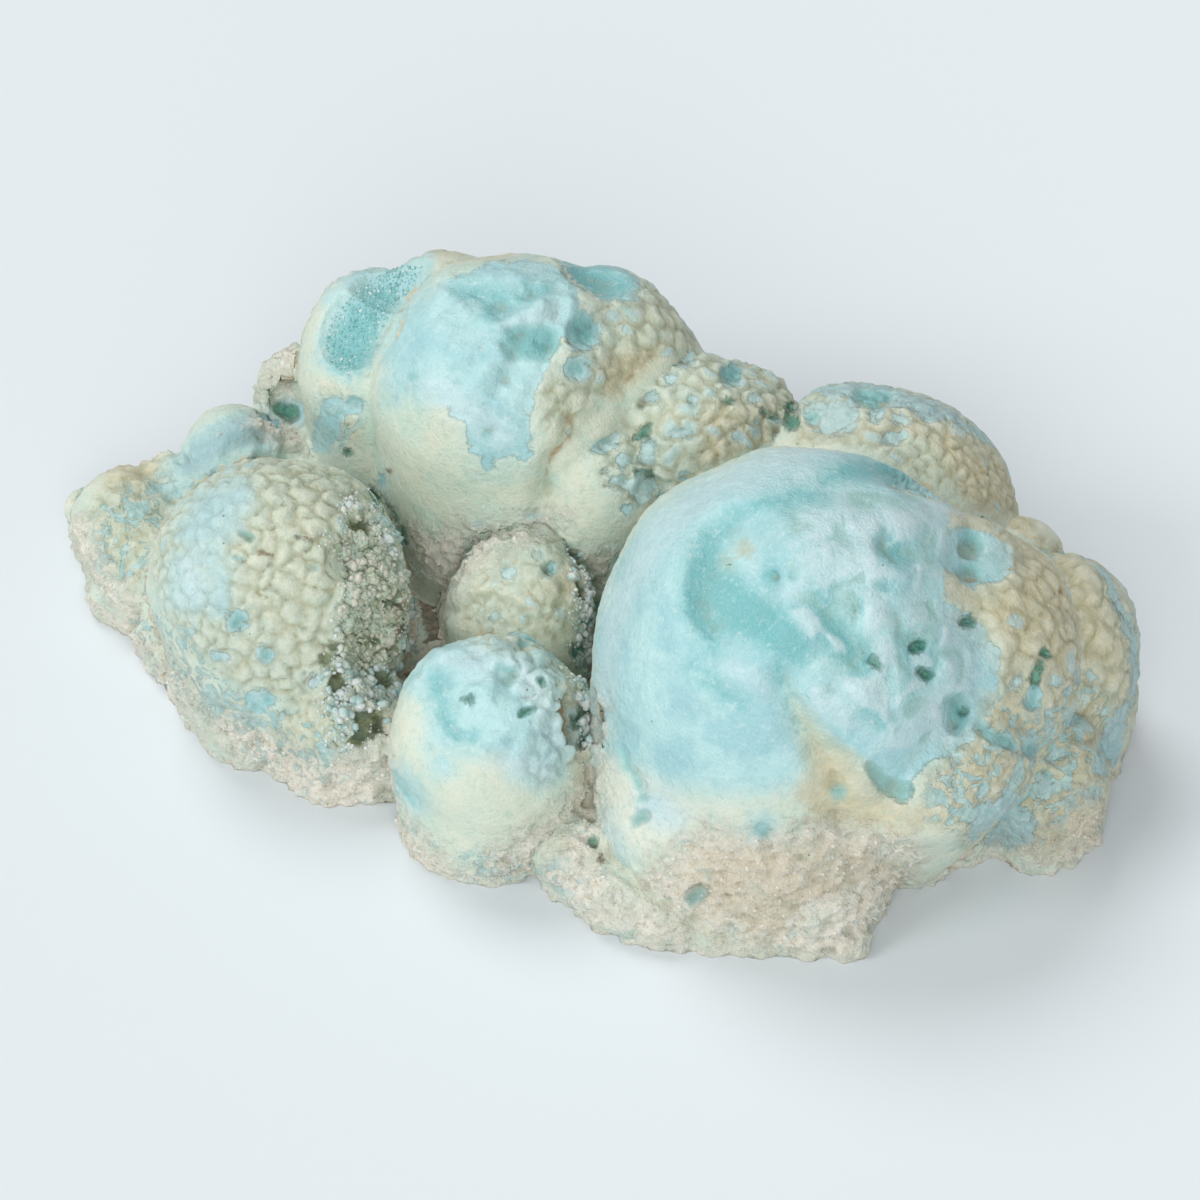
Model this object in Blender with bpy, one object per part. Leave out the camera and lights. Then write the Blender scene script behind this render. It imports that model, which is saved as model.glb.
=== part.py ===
"""Blue aragonite: one cabinet specimen of domes grown together on a chalky matrix, cut flat underneath.

The stone is one piece, so it is one closed solid. Every dome is a rounded cap on a stem that narrows
towards the cut. All domes are fused in one skin. Pebbles are raised on the skin where the photo shows
them, and scoops and pits are pressed into it. The work is done in millimetres and scaled at the end.
"""

import math

import bmesh
import bpy
import numpy as np
from mathutils import Matrix, Vector, kdtree

MM = 0.001

# The fused skin has a vertex about every GRID_STEP, is smoothed this many times, and is then thinned to about
# this many triangles.
GRID_STEP = 0.8
SMOOTHING = 4
TRIANGLES = 11000

# The stems run this far below the cut before they are cut off level.
BELOW_CUT = 3.0
SAME_HEIGHT = 1e-5

# The middle of the cut in the measures below, which becomes the origin.
MIDDLE = (0.3, 0.8, 0.0)

# Domes: centre x, y, z, half width in x, half width in y, rise of the cap, turn in degrees,
# the width at the cut as a share of the width at the centre, and how far the stem leans there in x and y.
DOMES = {
    "great_right": (29.5, -23.0, 28.0, 28.4, 28.0, 28.6, 0, 0.74, -8.5, -9.5),
    "right_shoulder": (48.5, -22.0, 27.0, 19.0, 19.5, 19.5, 0, 0.72, 0.0, 0.0),
    "right_lobe": (44.5, -35.0, 21.0, 16.5, 16.0, 17.0, 0, 0.20, 0.0, 0.0),
    "right_flank": (67.5, -10.0, 16.0, 10.0, 14.0, 14.5, 0, 0.90, 0.0, 0.0),
    "right_corner": (63.0, -27.0, 9.0, 9.5, 10.5, 11.0, 0, 0.95, 0.0, 0.0),
    "right_knob": (61.5, 3.5, 20.0, 6.5, 7.0, 7.5, 0, 0.95, 0.0, 0.0),
    "great_back": (-10.0, 28.5, 31.0, 21.0, 20.5, 21.0, 0, 0.95, 0.0, 0.0),
    "back_shoulder": (0.5, 31.0, 31.0, 17.0, 16.5, 17.2, 0, 0.95, 0.0, 0.0),
    "back_crest": (-19.5, 41.0, 31.0, 13.0, 12.0, 13.5, 0, 0.95, 0.0, 0.0),
    "scooped": (-30.0, 39.0, 27.0, 11.8, 15.0, 15.0, 0, 0.85, 0.0, 0.0),
    "ridge": (15.0, 21.5, 27.0, 17.0, 14.0, 14.0, -20, 0.95, 0.0, 0.0),
    "ridge_end": (20.5, 25.5, 25.0, 11.5, 11.0, 12.0, 0, 0.95, 0.0, 0.0),
    "ridge_front": (2.5, 15.0, 26.0, 10.5, 10.5, 10.5, 0, 0.92, 0.0, 0.0),
    "back_right": (41.0, 12.5, 20.0, 21.0, 20.0, 20.5, 0, 0.90, 0.0, 0.0),
    "front": (-12.5, -26.0, 13.5, 14.6, 14.6, 15.8, 0, 0.88, 0.0, 0.0),
    "front_folds": (-9.0, 0.5, 15.0, 10.7, 12.0, 11.0, 0, 0.95, 0.0, 0.0),
    "left": (-43.0, 0.0, 19.0, 18.3, 18.5, 19.0, 0, 0.86, 1.0, -2.0),
    "left_back": (-51.0, 33.0, 14.0, 9.0, 9.0, 9.0, 0, 0.80, 0.0, 0.0),
    "left_small": (-43.5, 46.0, 16.0, 6.0, 8.0, 8.0, 0, 0.90, 0.0, 0.0),
    "far_left": (-66.5, 25.5, 9.0, 9.0, 10.0, 8.0, 0, 0.75, 0.0, 0.0),
    "far_left_tip": (-74.0, 33.0, 6.0, 3.4, 3.5, 3.0, 0, 0.70, 0.0, 0.0),
    "far_left_foot": (-70.0, 18.0, 3.0, 3.0, 4.0, 3.0, 0, 0.80, 0.0, 0.0),
    "rear_high": (-5.0, 45.0, 26.0, 9.5, 8.0, 8.5, 0, 1.05, 0.0, 2.0),
    "rear_middle": (8.0, 46.0, 12.0, 8.5, 7.5, 8.0, 10, 1.10, 0.0, 0.0),
    "rear_low": (-22.0, 49.5, 14.0, 8.5, 6.0, 8.5, 0, 1.05, -2.0, 0.0),
    "rear_gap": (25.0, 37.0, 13.0, 8.5, 7.5, 9.0, 0, 1.10, 0.0, 1.0),
    "rear_right": (52.5, 25.5, 11.0, 9.0, 8.5, 9.0, -20, 1.10, 1.0, 1.0),
}

# Low matrix that ties the stems together, as flat mounds given by the same ten values.
MATRIX = {
    "middle": (-5.0, 10.0, 1.0, 58.0, 34.0, 4.0, 0, 1.00, 0.0, 0.0),
    "right": (38.0, 2.0, 1.0, 34.0, 30.0, 5.0, 0, 1.00, 0.0, 0.0),
    "left_slope": (-36.0, -13.0, 7.0, 15.0, 9.5, 11.0, -32, 1.00, 0.0, 0.0),
    "left_heel": (-57.5, 6.5, 4.0, 8.0, 6.0, 7.0, -35, 0.95, 0.0, 0.0),
    "front_ledge": (6.5, -44.0, 3.0, 12.0, 6.0, 5.0, -30, 0.95, 0.0, 0.0),
    "front_foot": (31.0, -42.0, 5.0, 10.5, 11.0, 10.0, 0, 1.00, 0.0, 0.0),
    "front_knob": (35.5, -50.5, 1.5, 3.5, 3.5, 3.0, 0, 0.95, 0.0, 0.0),
    "front_gap": (0.5, -36.0, 4.0, 8.0, 8.5, 6.0, 0, 0.95, 0.0, 0.0),
    "chalk_shelf": (-9.0, 9.5, 6.0, 12.0, 9.0, 10.0, 0, 1.00, 0.0, 0.0),
    "far_left_back": (-60.0, 30.0, 8.0, 9.0, 8.0, 9.0, 0, 0.95, 0.0, 0.0),
    "left_saddle": (-58.0, 21.0, 6.0, 15.0, 13.0, 9.0, -20, 0.95, 0.0, 0.0),
    "back_saddle": (-44.0, 36.0, 10.0, 12.0, 13.0, 9.0, 0, 0.95, 0.0, 0.0),
    "rear_shelf": (-8.0, 43.5, 3.0, 44.0, 11.0, 9.0, -6, 1.00, 0.0, 0.0),
    "rear_shelf_right": (42.0, 25.0, 3.0, 26.0, 13.0, 9.0, -38, 1.00, 0.0, 0.0),
    "left_back_fill": (-40.0, 32.0, 4.0, 26.0, 20.0, 5.0, 15, 0.95, 0.0, 0.0),
}

# Where the skin is pebbly: centre x, y, z and reach of each patch, which fades out over its edge.
PEBBLY_EDGE = 4.0
PEBBLY = {
    "left_dome": (-43.0, 0.0, 26.0, 18.0),
    "ridge_top": (16.0, 20.0, 38.0, 17.0),
    "great_back_flank": (5.0, 24.0, 42.0, 10.0),
    "back_right_top": (41.0, 14.0, 36.0, 22.0),
    "right_flanks": (63.0, -18.0, 32.0, 14.0),
    "fold_tops": (-9.0, 2.0, 25.0, 9.0),
}

# Pebbles are round caps on seeds about one size apart. Their radius, and how far they are sunk in the skin,
# are shares of the size. Where the skin is at least this pebbly, thinning takes fewer triangles away.
PEBBLE_SIZE = 4.2
PEBBLE_RISE = 1.8
PEBBLE_RADIUS = 0.62
PEBBLE_RADIUS_MORE = 0.25
PEBBLE_SUNK = 0.3
PEBBLE_NEIGHBOURS = 3
PEBBLY_ENOUGH = 0.3
KEEP_WEIGHT = 0.9
KEEP_PEBBLES = 2.0

# Rows of a scrambling function that gives each cell of the seed grid its own shift.
SCRAMBLE = np.array(((127.1, 269.5, 113.5), (311.7, 183.3, 271.9), (74.7, 246.1, 124.6)))
SCRAMBLE_SCALE = 43758.5453

# Hollows pressed in by a ball: x, y, z near the skin, radius of the mouth, depth. The ball touches nothing
# farther from its place than this many mouth radii.
PRESS_REACH = 1.25
HOLLOWS = {
    "sugary_scoop": (-31.5, 33.0, 40.5, 8.2, 3.6),
    "sugary_scoop_top": (-27.0, 39.5, 42.0, 6.0, 2.2),
    "crown_crater": (1.8, 33.4, 48.0, 5.2, 2.0),
    "crown_dimple": (-7.7, 18.8, 49.2, 4.3, 1.3),
    "crown_pit": (-0.4, 21.7, 48.3, 2.5, 0.9),
    "back_right_crater": (40.0, 16.5, 40.0, 4.0, 1.4),
    "swirl_basin": (19.6, -35.2, 51.6, 10.0, 2.0),
    "swirl_basin_top": (18.5, -28.0, 54.5, 8.5, 1.5),
    "eye_crater": (51.5, -23.5, 46.0, 4.9, 1.9),
    "green_holes": (44.0, -41.4, 43.7, 4.5, 1.2),
    "left_flank_hollow": (-29.1, -11.8, 20.5, 6.5, 2.6),
    "left_flank_scar": (-32.3, -8.0, 31.9, 5.0, 1.6),
    "front_collapse": (-8.6, -29.9, 28.0, 6.5, 1.6),
    "front_side_hole": (0.1, -28.9, 21.4, 4.0, 2.2),
    "left_back_notch": (-43.8, 38.9, 19.6, 3.5, 1.6),
    "rear_scar": (-8.0, 50.0, 30.0, 8.0, 2.2),
    "rear_pit": (44.0, 31.0, 24.0, 5.0, 1.8),
    "rear_left_pit": (-34.0, 52.0, 24.0, 4.5, 1.6),
}

# Furrows with a soft section: half width, depth, then the points that the furrow runs through.
FURROWS = {
    "front_valley": (3.2, 1.3, ((26.0, -45.0, 45.0), (29.0, -49.0, 38.0), (32.5, -50.5, 32.0), (33.5, -50.5, 24.0))),
    "right_crease": (1.8, 1.2, ((66.5, -9.5, 30.5), (63.0, -21.0, 34.5), (61.5, -29.0, 33.0), (60.0, -34.0, 29.0))),
    "ridge_crease": (1.6, 0.9, ((10.0, 18.0, 44.0), (0.0, 12.5, 39.0), (-5.0, 9.5, 35.0), (-6.5, 7.5, 27.0))),
}

# Broad unevenness of the whole skin, and the rougher matrix near the cut: height, length and seed of each.
SWELL = 0.30
SWELL_LENGTH = 17.0
SWELL_SEED = 3
ROUGH = 0.32
ROUGH_LENGTH = 6.5
ROUGH_SEED = 5
ROUGH_BELOW = 15.0
ROUGH_FADE = 6.0
WAVES_SUMMED = 12


def clear_scene():
    for item in list(bpy.data.objects):
        bpy.data.objects.remove(item, do_unlink=True)


def stone_material():
    material = bpy.data.materials.new("blue_aragonite")
    material.use_nodes = True
    shader = material.node_tree.nodes["Principled BSDF"]
    shader.inputs["Base Color"].default_value = (0.52, 0.72, 0.70, 1.0)
    shader.inputs["Roughness"].default_value = 0.5
    shader.inputs["Metallic"].default_value = 0.0
    return material


def unit_ball():
    """Corners and triangles of a ball of radius one."""
    ball = bmesh.new()
    bmesh.ops.create_icosphere(ball, subdivisions=5, radius=1.0)
    corners = np.array([corner.co for corner in ball.verts])
    faces = np.array([[corner.index for corner in face.verts] for face in ball.faces])
    ball.free()
    return corners, faces


def dome_corners(ball, values):
    """The ball's corners as one dome: a cap above its centre, and a stem down past the cut."""
    x, y, z, wide, deep, rise, turn, foot, lean_x, lean_y = values
    up = ball[:, 2]
    flat = np.maximum(np.hypot(ball[:, 0], ball[:, 1]), 1e-9)
    share = np.clip(-2.0 * up, 0.0, 1.0)
    round_to = 1.0 - (1.0 - foot) * share
    full = np.sqrt(1.0 - np.clip(up, -0.5, 0.0) ** 2)
    stretch = np.where(up < 0.0, round_to / np.where(up > -0.5, flat, full), 1.0)
    across = ball[:, 0] * stretch * wide
    along = ball[:, 1] * stretch * deep
    height = np.where(up < 0.0, z - share * (z + BELOW_CUT), z + rise * up)
    cos, sin = math.cos(math.radians(turn)), math.sin(math.radians(turn))
    east = x + across * cos - along * sin + lean_x * share
    north = y + across * sin + along * cos + lean_y * share
    return np.stack((east, north, height), axis=1)


def fused_skin(step):
    """All domes and matrix mounds as one closed skin with a vertex about every step."""
    ball, faces = unit_ball()
    shapes = list(DOMES.values()) + list(MATRIX.values())
    corners = np.concatenate([dome_corners(ball, values) for values in shapes])
    joined = np.concatenate([faces + len(ball) * index for index in range(len(shapes))])
    data = bpy.data.meshes.new("domes")
    data.from_pydata(corners.tolist(), [], joined.tolist())
    holder = bpy.data.objects.new("domes", data)
    bpy.context.scene.collection.objects.link(holder)
    fuse = holder.modifiers.new("fuse", "REMESH")
    fuse.mode = "VOXEL"
    fuse.voxel_size = step
    soften = holder.modifiers.new("soften", "SMOOTH")
    soften.factor = 0.5
    soften.iterations = SMOOTHING
    return baked(holder)


def baked(holder):
    """The object's mesh as its modifiers leave it, with the object removed."""
    bpy.context.view_layer.update()
    graph = bpy.context.evaluated_depsgraph_get()
    data = bpy.data.meshes.new_from_object(holder.evaluated_get(graph))
    bpy.data.objects.remove(holder, do_unlink=True)
    return data


def read_skin(data):
    """The points and outward directions of a mesh."""
    points = np.empty(len(data.vertices) * 3, np.float32)
    data.vertices.foreach_get("co", points)
    outward = np.empty(len(data.vertices) * 3, np.float32)
    data.vertex_normals.foreach_get("vector", outward)
    return points.reshape(-1, 3).astype(float), outward.reshape(-1, 3).astype(float)


def write_skin(data, points):
    data.vertices.foreach_set("co", points.astype(np.float32).ravel())
    data.update()


def waves(points, length, seed):
    """Seeded unevenness of about one unit, with bumps about one length apart."""
    random = np.random.default_rng(seed)
    ways = random.normal(size=(WAVES_SUMMED, 3))
    ways /= np.linalg.norm(ways, axis=1, keepdims=True)
    ways *= 2.0 * math.pi / length * random.uniform(0.7, 1.3, size=(WAVES_SUMMED, 1))
    starts = random.uniform(0.0, 2.0 * math.pi, WAVES_SUMMED)
    return np.cos(points @ ways.T + starts).sum(axis=1) / math.sqrt(WAVES_SUMMED / 2.0)


def within(points, centre, reach, edge):
    """One inside a ball of this reach and zero outside, over an edge of this width."""
    away = np.linalg.norm(points - np.array(centre), axis=1)
    return np.clip((reach - away) / edge, 0.0, 1.0)


def tree_of(points):
    tree = kdtree.KDTree(len(points))
    for index, point in enumerate(points):
        tree.insert(point, index)
    tree.balance()
    return tree


def pebble_seeds(points, size):
    """Places on the skin, one for each cell of a jittered grid that the skin crosses, with a number from 0 to 1."""
    grid = np.unique(np.floor(points / size).astype(int), axis=0)
    shake = np.abs(np.modf(np.sin(grid @ SCRAMBLE) * SCRAMBLE_SCALE)[0])
    tree = tree_of(points)
    return np.array([tree.find(place)[0] for place in (grid + shake) * size]), shake[:, 0]


def pebble_rise(points, size):
    """Height of close-set rounded pebbles at each point, as a share of their size."""
    seeds, shake = pebble_seeds(points, size)
    tree = tree_of(seeds)
    rise = np.zeros(len(points))
    for index, point in enumerate(points):
        for _, near, away in tree.find_n(point, PEBBLE_NEIGHBOURS):
            radius = PEBBLE_RADIUS + PEBBLE_RADIUS_MORE * shake[near]
            rise[index] = max(rise[index], radius ** 2 - (away / size) ** 2)
    return np.sqrt(rise) - PEBBLE_SUNK


def press(points, outward, hollow):
    """Moves the points inside a ball to its surface, which leaves a round hollow in the skin."""
    x, y, z, mouth, depth = hollow
    nearest = np.argmin(((points - np.array((x, y, z))) ** 2).sum(axis=1))
    apart = np.linalg.norm(points - points[nearest], axis=1)
    way = outward[apart < mouth].mean(axis=0)
    way /= np.linalg.norm(way)
    radius = (mouth ** 2 + depth ** 2) / (2.0 * depth)
    centre = points[nearest] + way * (radius - depth)
    away = points - centre
    far = np.linalg.norm(away, axis=1, keepdims=True)
    pressed = (far < radius) & (apart[:, None] < PRESS_REACH * mouth)
    return np.where(pressed, centre + away / np.maximum(far, 1e-9) * radius, points)


def pebbly_share(points):
    share = np.zeros(len(points))
    for x, y, z, reach in PEBBLY.values():
        share = np.maximum(share, within(points, (x, y, z), reach, PEBBLY_EDGE))
    return share


def to_line(points, corners):
    """Distance from each point to a run of straight stretches."""
    away = np.full(len(points), np.inf)
    for start, end in zip(corners[:-1], corners[1:]):
        start, end = np.array(start), np.array(end)
        along = np.clip((points - start) @ (end - start) / ((end - start) @ (end - start)), 0.0, 1.0)
        away = np.minimum(away, np.linalg.norm(points - start - along[:, None] * (end - start), axis=1))
    return away


def shape_skin(data):
    """Gives the fused skin its swell, rough matrix, pebbles and hollows."""
    points, outward = read_skin(data)
    pebbly = pebbly_share(points)
    low = np.clip((ROUGH_BELOW - points[:, 2]) / ROUGH_FADE, 0.0, 1.0)
    rise = SWELL * waves(points, SWELL_LENGTH, SWELL_SEED)
    rise += ROUGH * low * waves(points, ROUGH_LENGTH, ROUGH_SEED)
    rise += PEBBLE_RISE * pebbly * pebble_rise(points, PEBBLE_SIZE)
    for width, depth, corners in FURROWS.values():
        rise -= depth * np.exp(-((to_line(points, corners) / width) ** 2))
    points = points + outward * rise[:, None]
    for hollow in HOLLOWS.values():
        points = press(points, outward, hollow)
    write_skin(data, points)


def thinned(data, triangles):
    """Fewer triangles, thinned least where the skin is pebbly."""
    holder = bpy.data.objects.new("thin", data)
    bpy.context.scene.collection.objects.link(holder)
    kept = holder.vertex_groups.new(name="pebbly")
    share = pebbly_share(read_skin(data)[0])
    kept.add(np.flatnonzero(share > PEBBLY_ENOUGH).tolist(), KEEP_WEIGHT, "REPLACE")
    data.calc_loop_triangles()
    thin = holder.modifiers.new("thin", "DECIMATE")
    thin.ratio = triangles / len(data.loop_triangles)
    thin.vertex_group = kept.name
    thin.invert_vertex_group = True
    thin.vertex_group_factor = KEEP_PEBBLES
    thin.use_collapse_triangulate = True
    return baked(holder)


def cut_level(data):
    """Cuts the skin off at height zero and closes it with one flat face, as triangles."""
    mesh = bmesh.new()
    mesh.from_mesh(data)
    parts = mesh.verts[:] + mesh.edges[:] + mesh.faces[:]
    cut = bmesh.ops.bisect_plane(
        mesh, geom=parts, dist=SAME_HEIGHT, plane_co=(0, 0, 0), plane_no=(0, 0, 1), clear_inner=True
    )
    rim = [item for item in cut["geom_cut"] if isinstance(item, bmesh.types.BMEdge)]
    fill = bmesh.ops.triangle_fill(mesh, edges=rim, use_beauty=True)
    for face in fill["geom"]:
        if isinstance(face, bmesh.types.BMFace) and face.normal.z > 0.0:
            face.normal_flip()
    bmesh.ops.triangulate(mesh, faces=mesh.faces[:])
    mesh.to_mesh(data)
    mesh.free()


def build_stone():
    data = fused_skin(GRID_STEP)
    shape_skin(data)
    data = thinned(data, TRIANGLES)
    cut_level(data)
    data.transform(Matrix.Scale(MM, 4) @ Matrix.Translation(-Vector(MIDDLE)))
    data.name = "aragonite"
    data.materials.clear()
    data.materials.append(stone_material())
    data.shade_smooth()
    stone = bpy.data.objects.new("aragonite", data)
    bpy.context.scene.collection.objects.link(stone)


clear_scene()
build_stone()
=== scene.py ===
# %% [markdown]
# # A blue aragonite specimen
# The object is one stone: blue domes that grew into each other, a thin celadon and tan rind that has worn
# through in many places, and chalky matrix between and under the domes. It lies on a flat cut.
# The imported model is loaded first. It stays where it is and gives the box that the dressed stone fills.

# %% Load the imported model
import math

import bmesh
import bpy
import numpy as np
from mathutils import Matrix, Vector


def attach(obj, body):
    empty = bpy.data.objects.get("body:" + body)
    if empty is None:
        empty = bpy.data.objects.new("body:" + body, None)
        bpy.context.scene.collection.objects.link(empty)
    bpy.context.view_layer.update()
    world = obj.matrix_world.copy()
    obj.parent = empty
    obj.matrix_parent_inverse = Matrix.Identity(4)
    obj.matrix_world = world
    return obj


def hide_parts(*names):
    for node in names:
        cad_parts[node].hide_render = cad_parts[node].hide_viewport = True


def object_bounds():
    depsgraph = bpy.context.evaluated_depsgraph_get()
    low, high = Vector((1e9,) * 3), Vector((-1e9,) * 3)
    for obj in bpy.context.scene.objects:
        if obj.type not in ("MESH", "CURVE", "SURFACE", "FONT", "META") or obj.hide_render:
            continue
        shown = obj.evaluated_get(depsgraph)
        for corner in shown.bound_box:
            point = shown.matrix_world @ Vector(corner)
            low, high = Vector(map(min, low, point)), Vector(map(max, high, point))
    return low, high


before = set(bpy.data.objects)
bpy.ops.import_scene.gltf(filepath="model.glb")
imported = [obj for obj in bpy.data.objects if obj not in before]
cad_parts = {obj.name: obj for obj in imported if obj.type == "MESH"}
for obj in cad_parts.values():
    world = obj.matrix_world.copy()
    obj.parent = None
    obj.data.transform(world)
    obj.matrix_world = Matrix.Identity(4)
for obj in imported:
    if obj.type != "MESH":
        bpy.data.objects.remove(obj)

CAD_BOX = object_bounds()
MM = 0.001
print("CAD box in mm", [[round(side / MM, 1) for side in corner] for corner in CAD_BOX])

# %% [markdown]
# ## The camera
# The photograph looks down on the stone from the front through a long lens. A camera is a place, a direction
# and a lens. The lens follows from the real size: so many pixels of the photograph show one millimetre.
# Everything below that is placed "as seen" uses the same three facts.

# %% Place the camera at the photograph's angle
PHOTO_SIDE = 1200
PIXELS_PER_MM = 7.17
ELEVATION = math.radians(42.0)
DISTANCE = 620.0
TARGET = np.array((1.8, -6.0, 22.0))
SIGHT = np.array((0.0, math.cos(ELEVATION), -math.sin(ELEVATION)))
PICTURE_UP = np.array((0.0, math.sin(ELEVATION), math.cos(ELEVATION)))
EYE = TARGET - DISTANCE * SIGHT
SENSOR = 36.0
NEAREST_SEEN = 50.0

camera_data = bpy.data.cameras.new("camera")
camera_data.sensor_width = SENSOR
camera_data.lens = SENSOR * DISTANCE * PIXELS_PER_MM / PHOTO_SIDE
camera_data.clip_start = NEAREST_SEEN * MM
camera = bpy.data.objects.new("camera", camera_data)
camera.location = EYE * MM
camera.rotation_euler = Vector(SIGHT).to_track_quat("-Z", "Y").to_euler()
bpy.context.scene.collection.objects.link(camera)
bpy.context.scene.camera = camera
print("lens in mm", round(camera_data.lens, 1))

# %% [markdown]
# ## Floor and light
# A pale floor that runs far past the picture reads as a seamless studio background. Softboxes could be area
# lights, but those fall off across a floor. Suns don't, and a sun with a wide angle gives shadows just as
# soft. Four of them stand for the softboxes: a key from the left, one from above, and two low in front.

# %% Make the floor, the lights and the world
FLOOR_SIZE = 6.0
FLOOR_COLOUR = (0.67, 0.72, 0.75, 1.0)
FLOOR_ROUGHNESS = 0.9
FLOOR_GLOSS = 0.1
# The direction that each light comes from, its strength and its width in degrees
SUNS = {
    "key": ((-0.78, -0.32, 0.54), 1.05, 24.0),
    "top": ((-0.32, 0.46, 0.83), 1.30, 30.0),
    "fill": ((-0.05, -0.80, 0.60), 1.25, 38.0),
    "low": ((0.05, -0.97, 0.25), 0.55, 40.0),
}
SKY_STRENGTH = 0.36
bpy.context.scene.view_settings.view_transform = "Standard"

half = FLOOR_SIZE / 2.0
floor_data = bpy.data.meshes.new("floor")
floor_data.from_pydata([(-half, -half, 0), (half, -half, 0), (half, half, 0), (-half, half, 0)], [], [(0, 1, 2, 3)])
floor = bpy.data.objects.new("floor", floor_data)
bpy.context.scene.collection.objects.link(floor)
floor_material = bpy.data.materials.new("pale_floor")
floor_material.use_nodes = True
floor_shader = floor_material.node_tree.nodes["Principled BSDF"]
floor_shader.inputs["Base Color"].default_value = FLOOR_COLOUR
floor_shader.inputs["Roughness"].default_value = FLOOR_ROUGHNESS
floor_shader.inputs["Specular IOR Level"].default_value = FLOOR_GLOSS
floor_data.materials.append(floor_material)

for name, (source, strength, width) in SUNS.items():
    sun_data = bpy.data.lights.new(name, "SUN")
    sun_data.energy = strength
    sun_data.angle = math.radians(width)
    sun = bpy.data.objects.new(name, sun_data)
    sun.rotation_euler = Vector(source).to_track_quat("Z", "Y").to_euler()
    bpy.context.scene.collection.objects.link(sun)

world = bpy.data.worlds.new("studio")
world.use_nodes = True
world.node_tree.nodes["Background"].inputs["Color"].default_value = (1.0, 1.0, 1.0, 1.0)
world.node_tree.nodes["Background"].inputs["Strength"].default_value = SKY_STRENGTH
bpy.context.scene.world = world

# %% [markdown]
# ## The domes
# The stone grew as round domes. Each is a cap on a stem that narrows towards the cut, given by ten values.
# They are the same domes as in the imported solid, in millimetres, so that the dressed stone fits it. Below
# them is the chalky matrix, as flat mounds given in the same way.

# %% List the domes and the matrix
MIDDLE = np.array((0.3, 0.8, 0.0))
BELOW_CUT = 3.0

# Centre x, y, z, half width in x and y, rise of the cap, turn in degrees, width at the cut as a share, lean
DOMES = {
    "great_right": (29.5, -23, 28, 28.4, 28, 28.6, 0, 0.74, -8.5, -9.5),
    "right_shoulder": (48.5, -22, 27, 19, 19.5, 19.5, 0, 0.72, 0, 0),
    "right_lobe": (44.5, -35, 21, 16.5, 16, 17, 0, 0.2, 0, 0),
    "right_flank": (67.5, -10, 16, 10, 14, 14.5, 0, 0.9, 0, 0),
    "right_corner": (63, -27, 9, 9.5, 10.5, 11, 0, 0.95, 0, 0),
    "right_knob": (61.5, 3.5, 20, 6.5, 7, 7.5, 0, 0.95, 0, 0),
    "great_back": (-10, 28.5, 31, 21, 20.5, 21, 0, 0.95, 0, 0),
    "back_shoulder": (0.5, 31, 31, 17, 16.5, 17.2, 0, 0.95, 0, 0),
    "back_crest": (-19.5, 41, 31, 13, 12, 13.5, 0, 0.95, 0, 0),
    "scooped": (-30, 39, 27, 11.8, 15, 15, 0, 0.85, 0, 0),
    "ridge": (15, 21.5, 27, 17, 14, 14, -20, 0.95, 0, 0),
    "ridge_end": (20.5, 25.5, 25, 11.5, 11, 12, 0, 0.95, 0, 0),
    "ridge_front": (2.5, 15, 26, 10.5, 10.5, 10.5, 0, 0.92, 0, 0),
    "back_right": (41, 12.5, 20, 21, 20, 20.5, 0, 0.9, 0, 0),
    "front": (-12.5, -26, 13.5, 14.6, 14.6, 15.8, 0, 0.88, 0, 0),
    "front_folds": (-9, 0.5, 15, 10.7, 12, 11, 0, 0.95, 0, 0),
    "left": (-43, 0, 19, 18.3, 18.5, 19, 0, 0.86, 1, -2),
    "left_back": (-51, 33, 14, 9, 9, 9, 0, 0.8, 0, 0),
    "left_small": (-43.5, 46, 16, 6, 8, 8, 0, 0.9, 0, 0),
    "far_left": (-66.5, 25.5, 9, 9, 10, 8, 0, 0.75, 0, 0),
    "far_left_tip": (-74, 33, 6, 3.4, 3.5, 3, 0, 0.7, 0, 0),
    "far_left_foot": (-70, 18, 3, 3, 4, 3, 0, 0.8, 0, 0),
    "rear_high": (-5, 45, 26, 9.5, 8, 8.5, 0, 1.05, 0, 2),
    "rear_middle": (8, 46, 12, 8.5, 7.5, 8, 10, 1.1, 0, 0),
    "rear_low": (-22, 49.5, 14, 8.5, 6, 8.5, 0, 1.05, -2, 0),
    "rear_gap": (25, 37, 13, 8.5, 7.5, 9, 0, 1.1, 0, 1),
    "rear_right": (52.5, 25.5, 11, 9, 8.5, 9, -20, 1.1, 1, 1),
}
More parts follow.
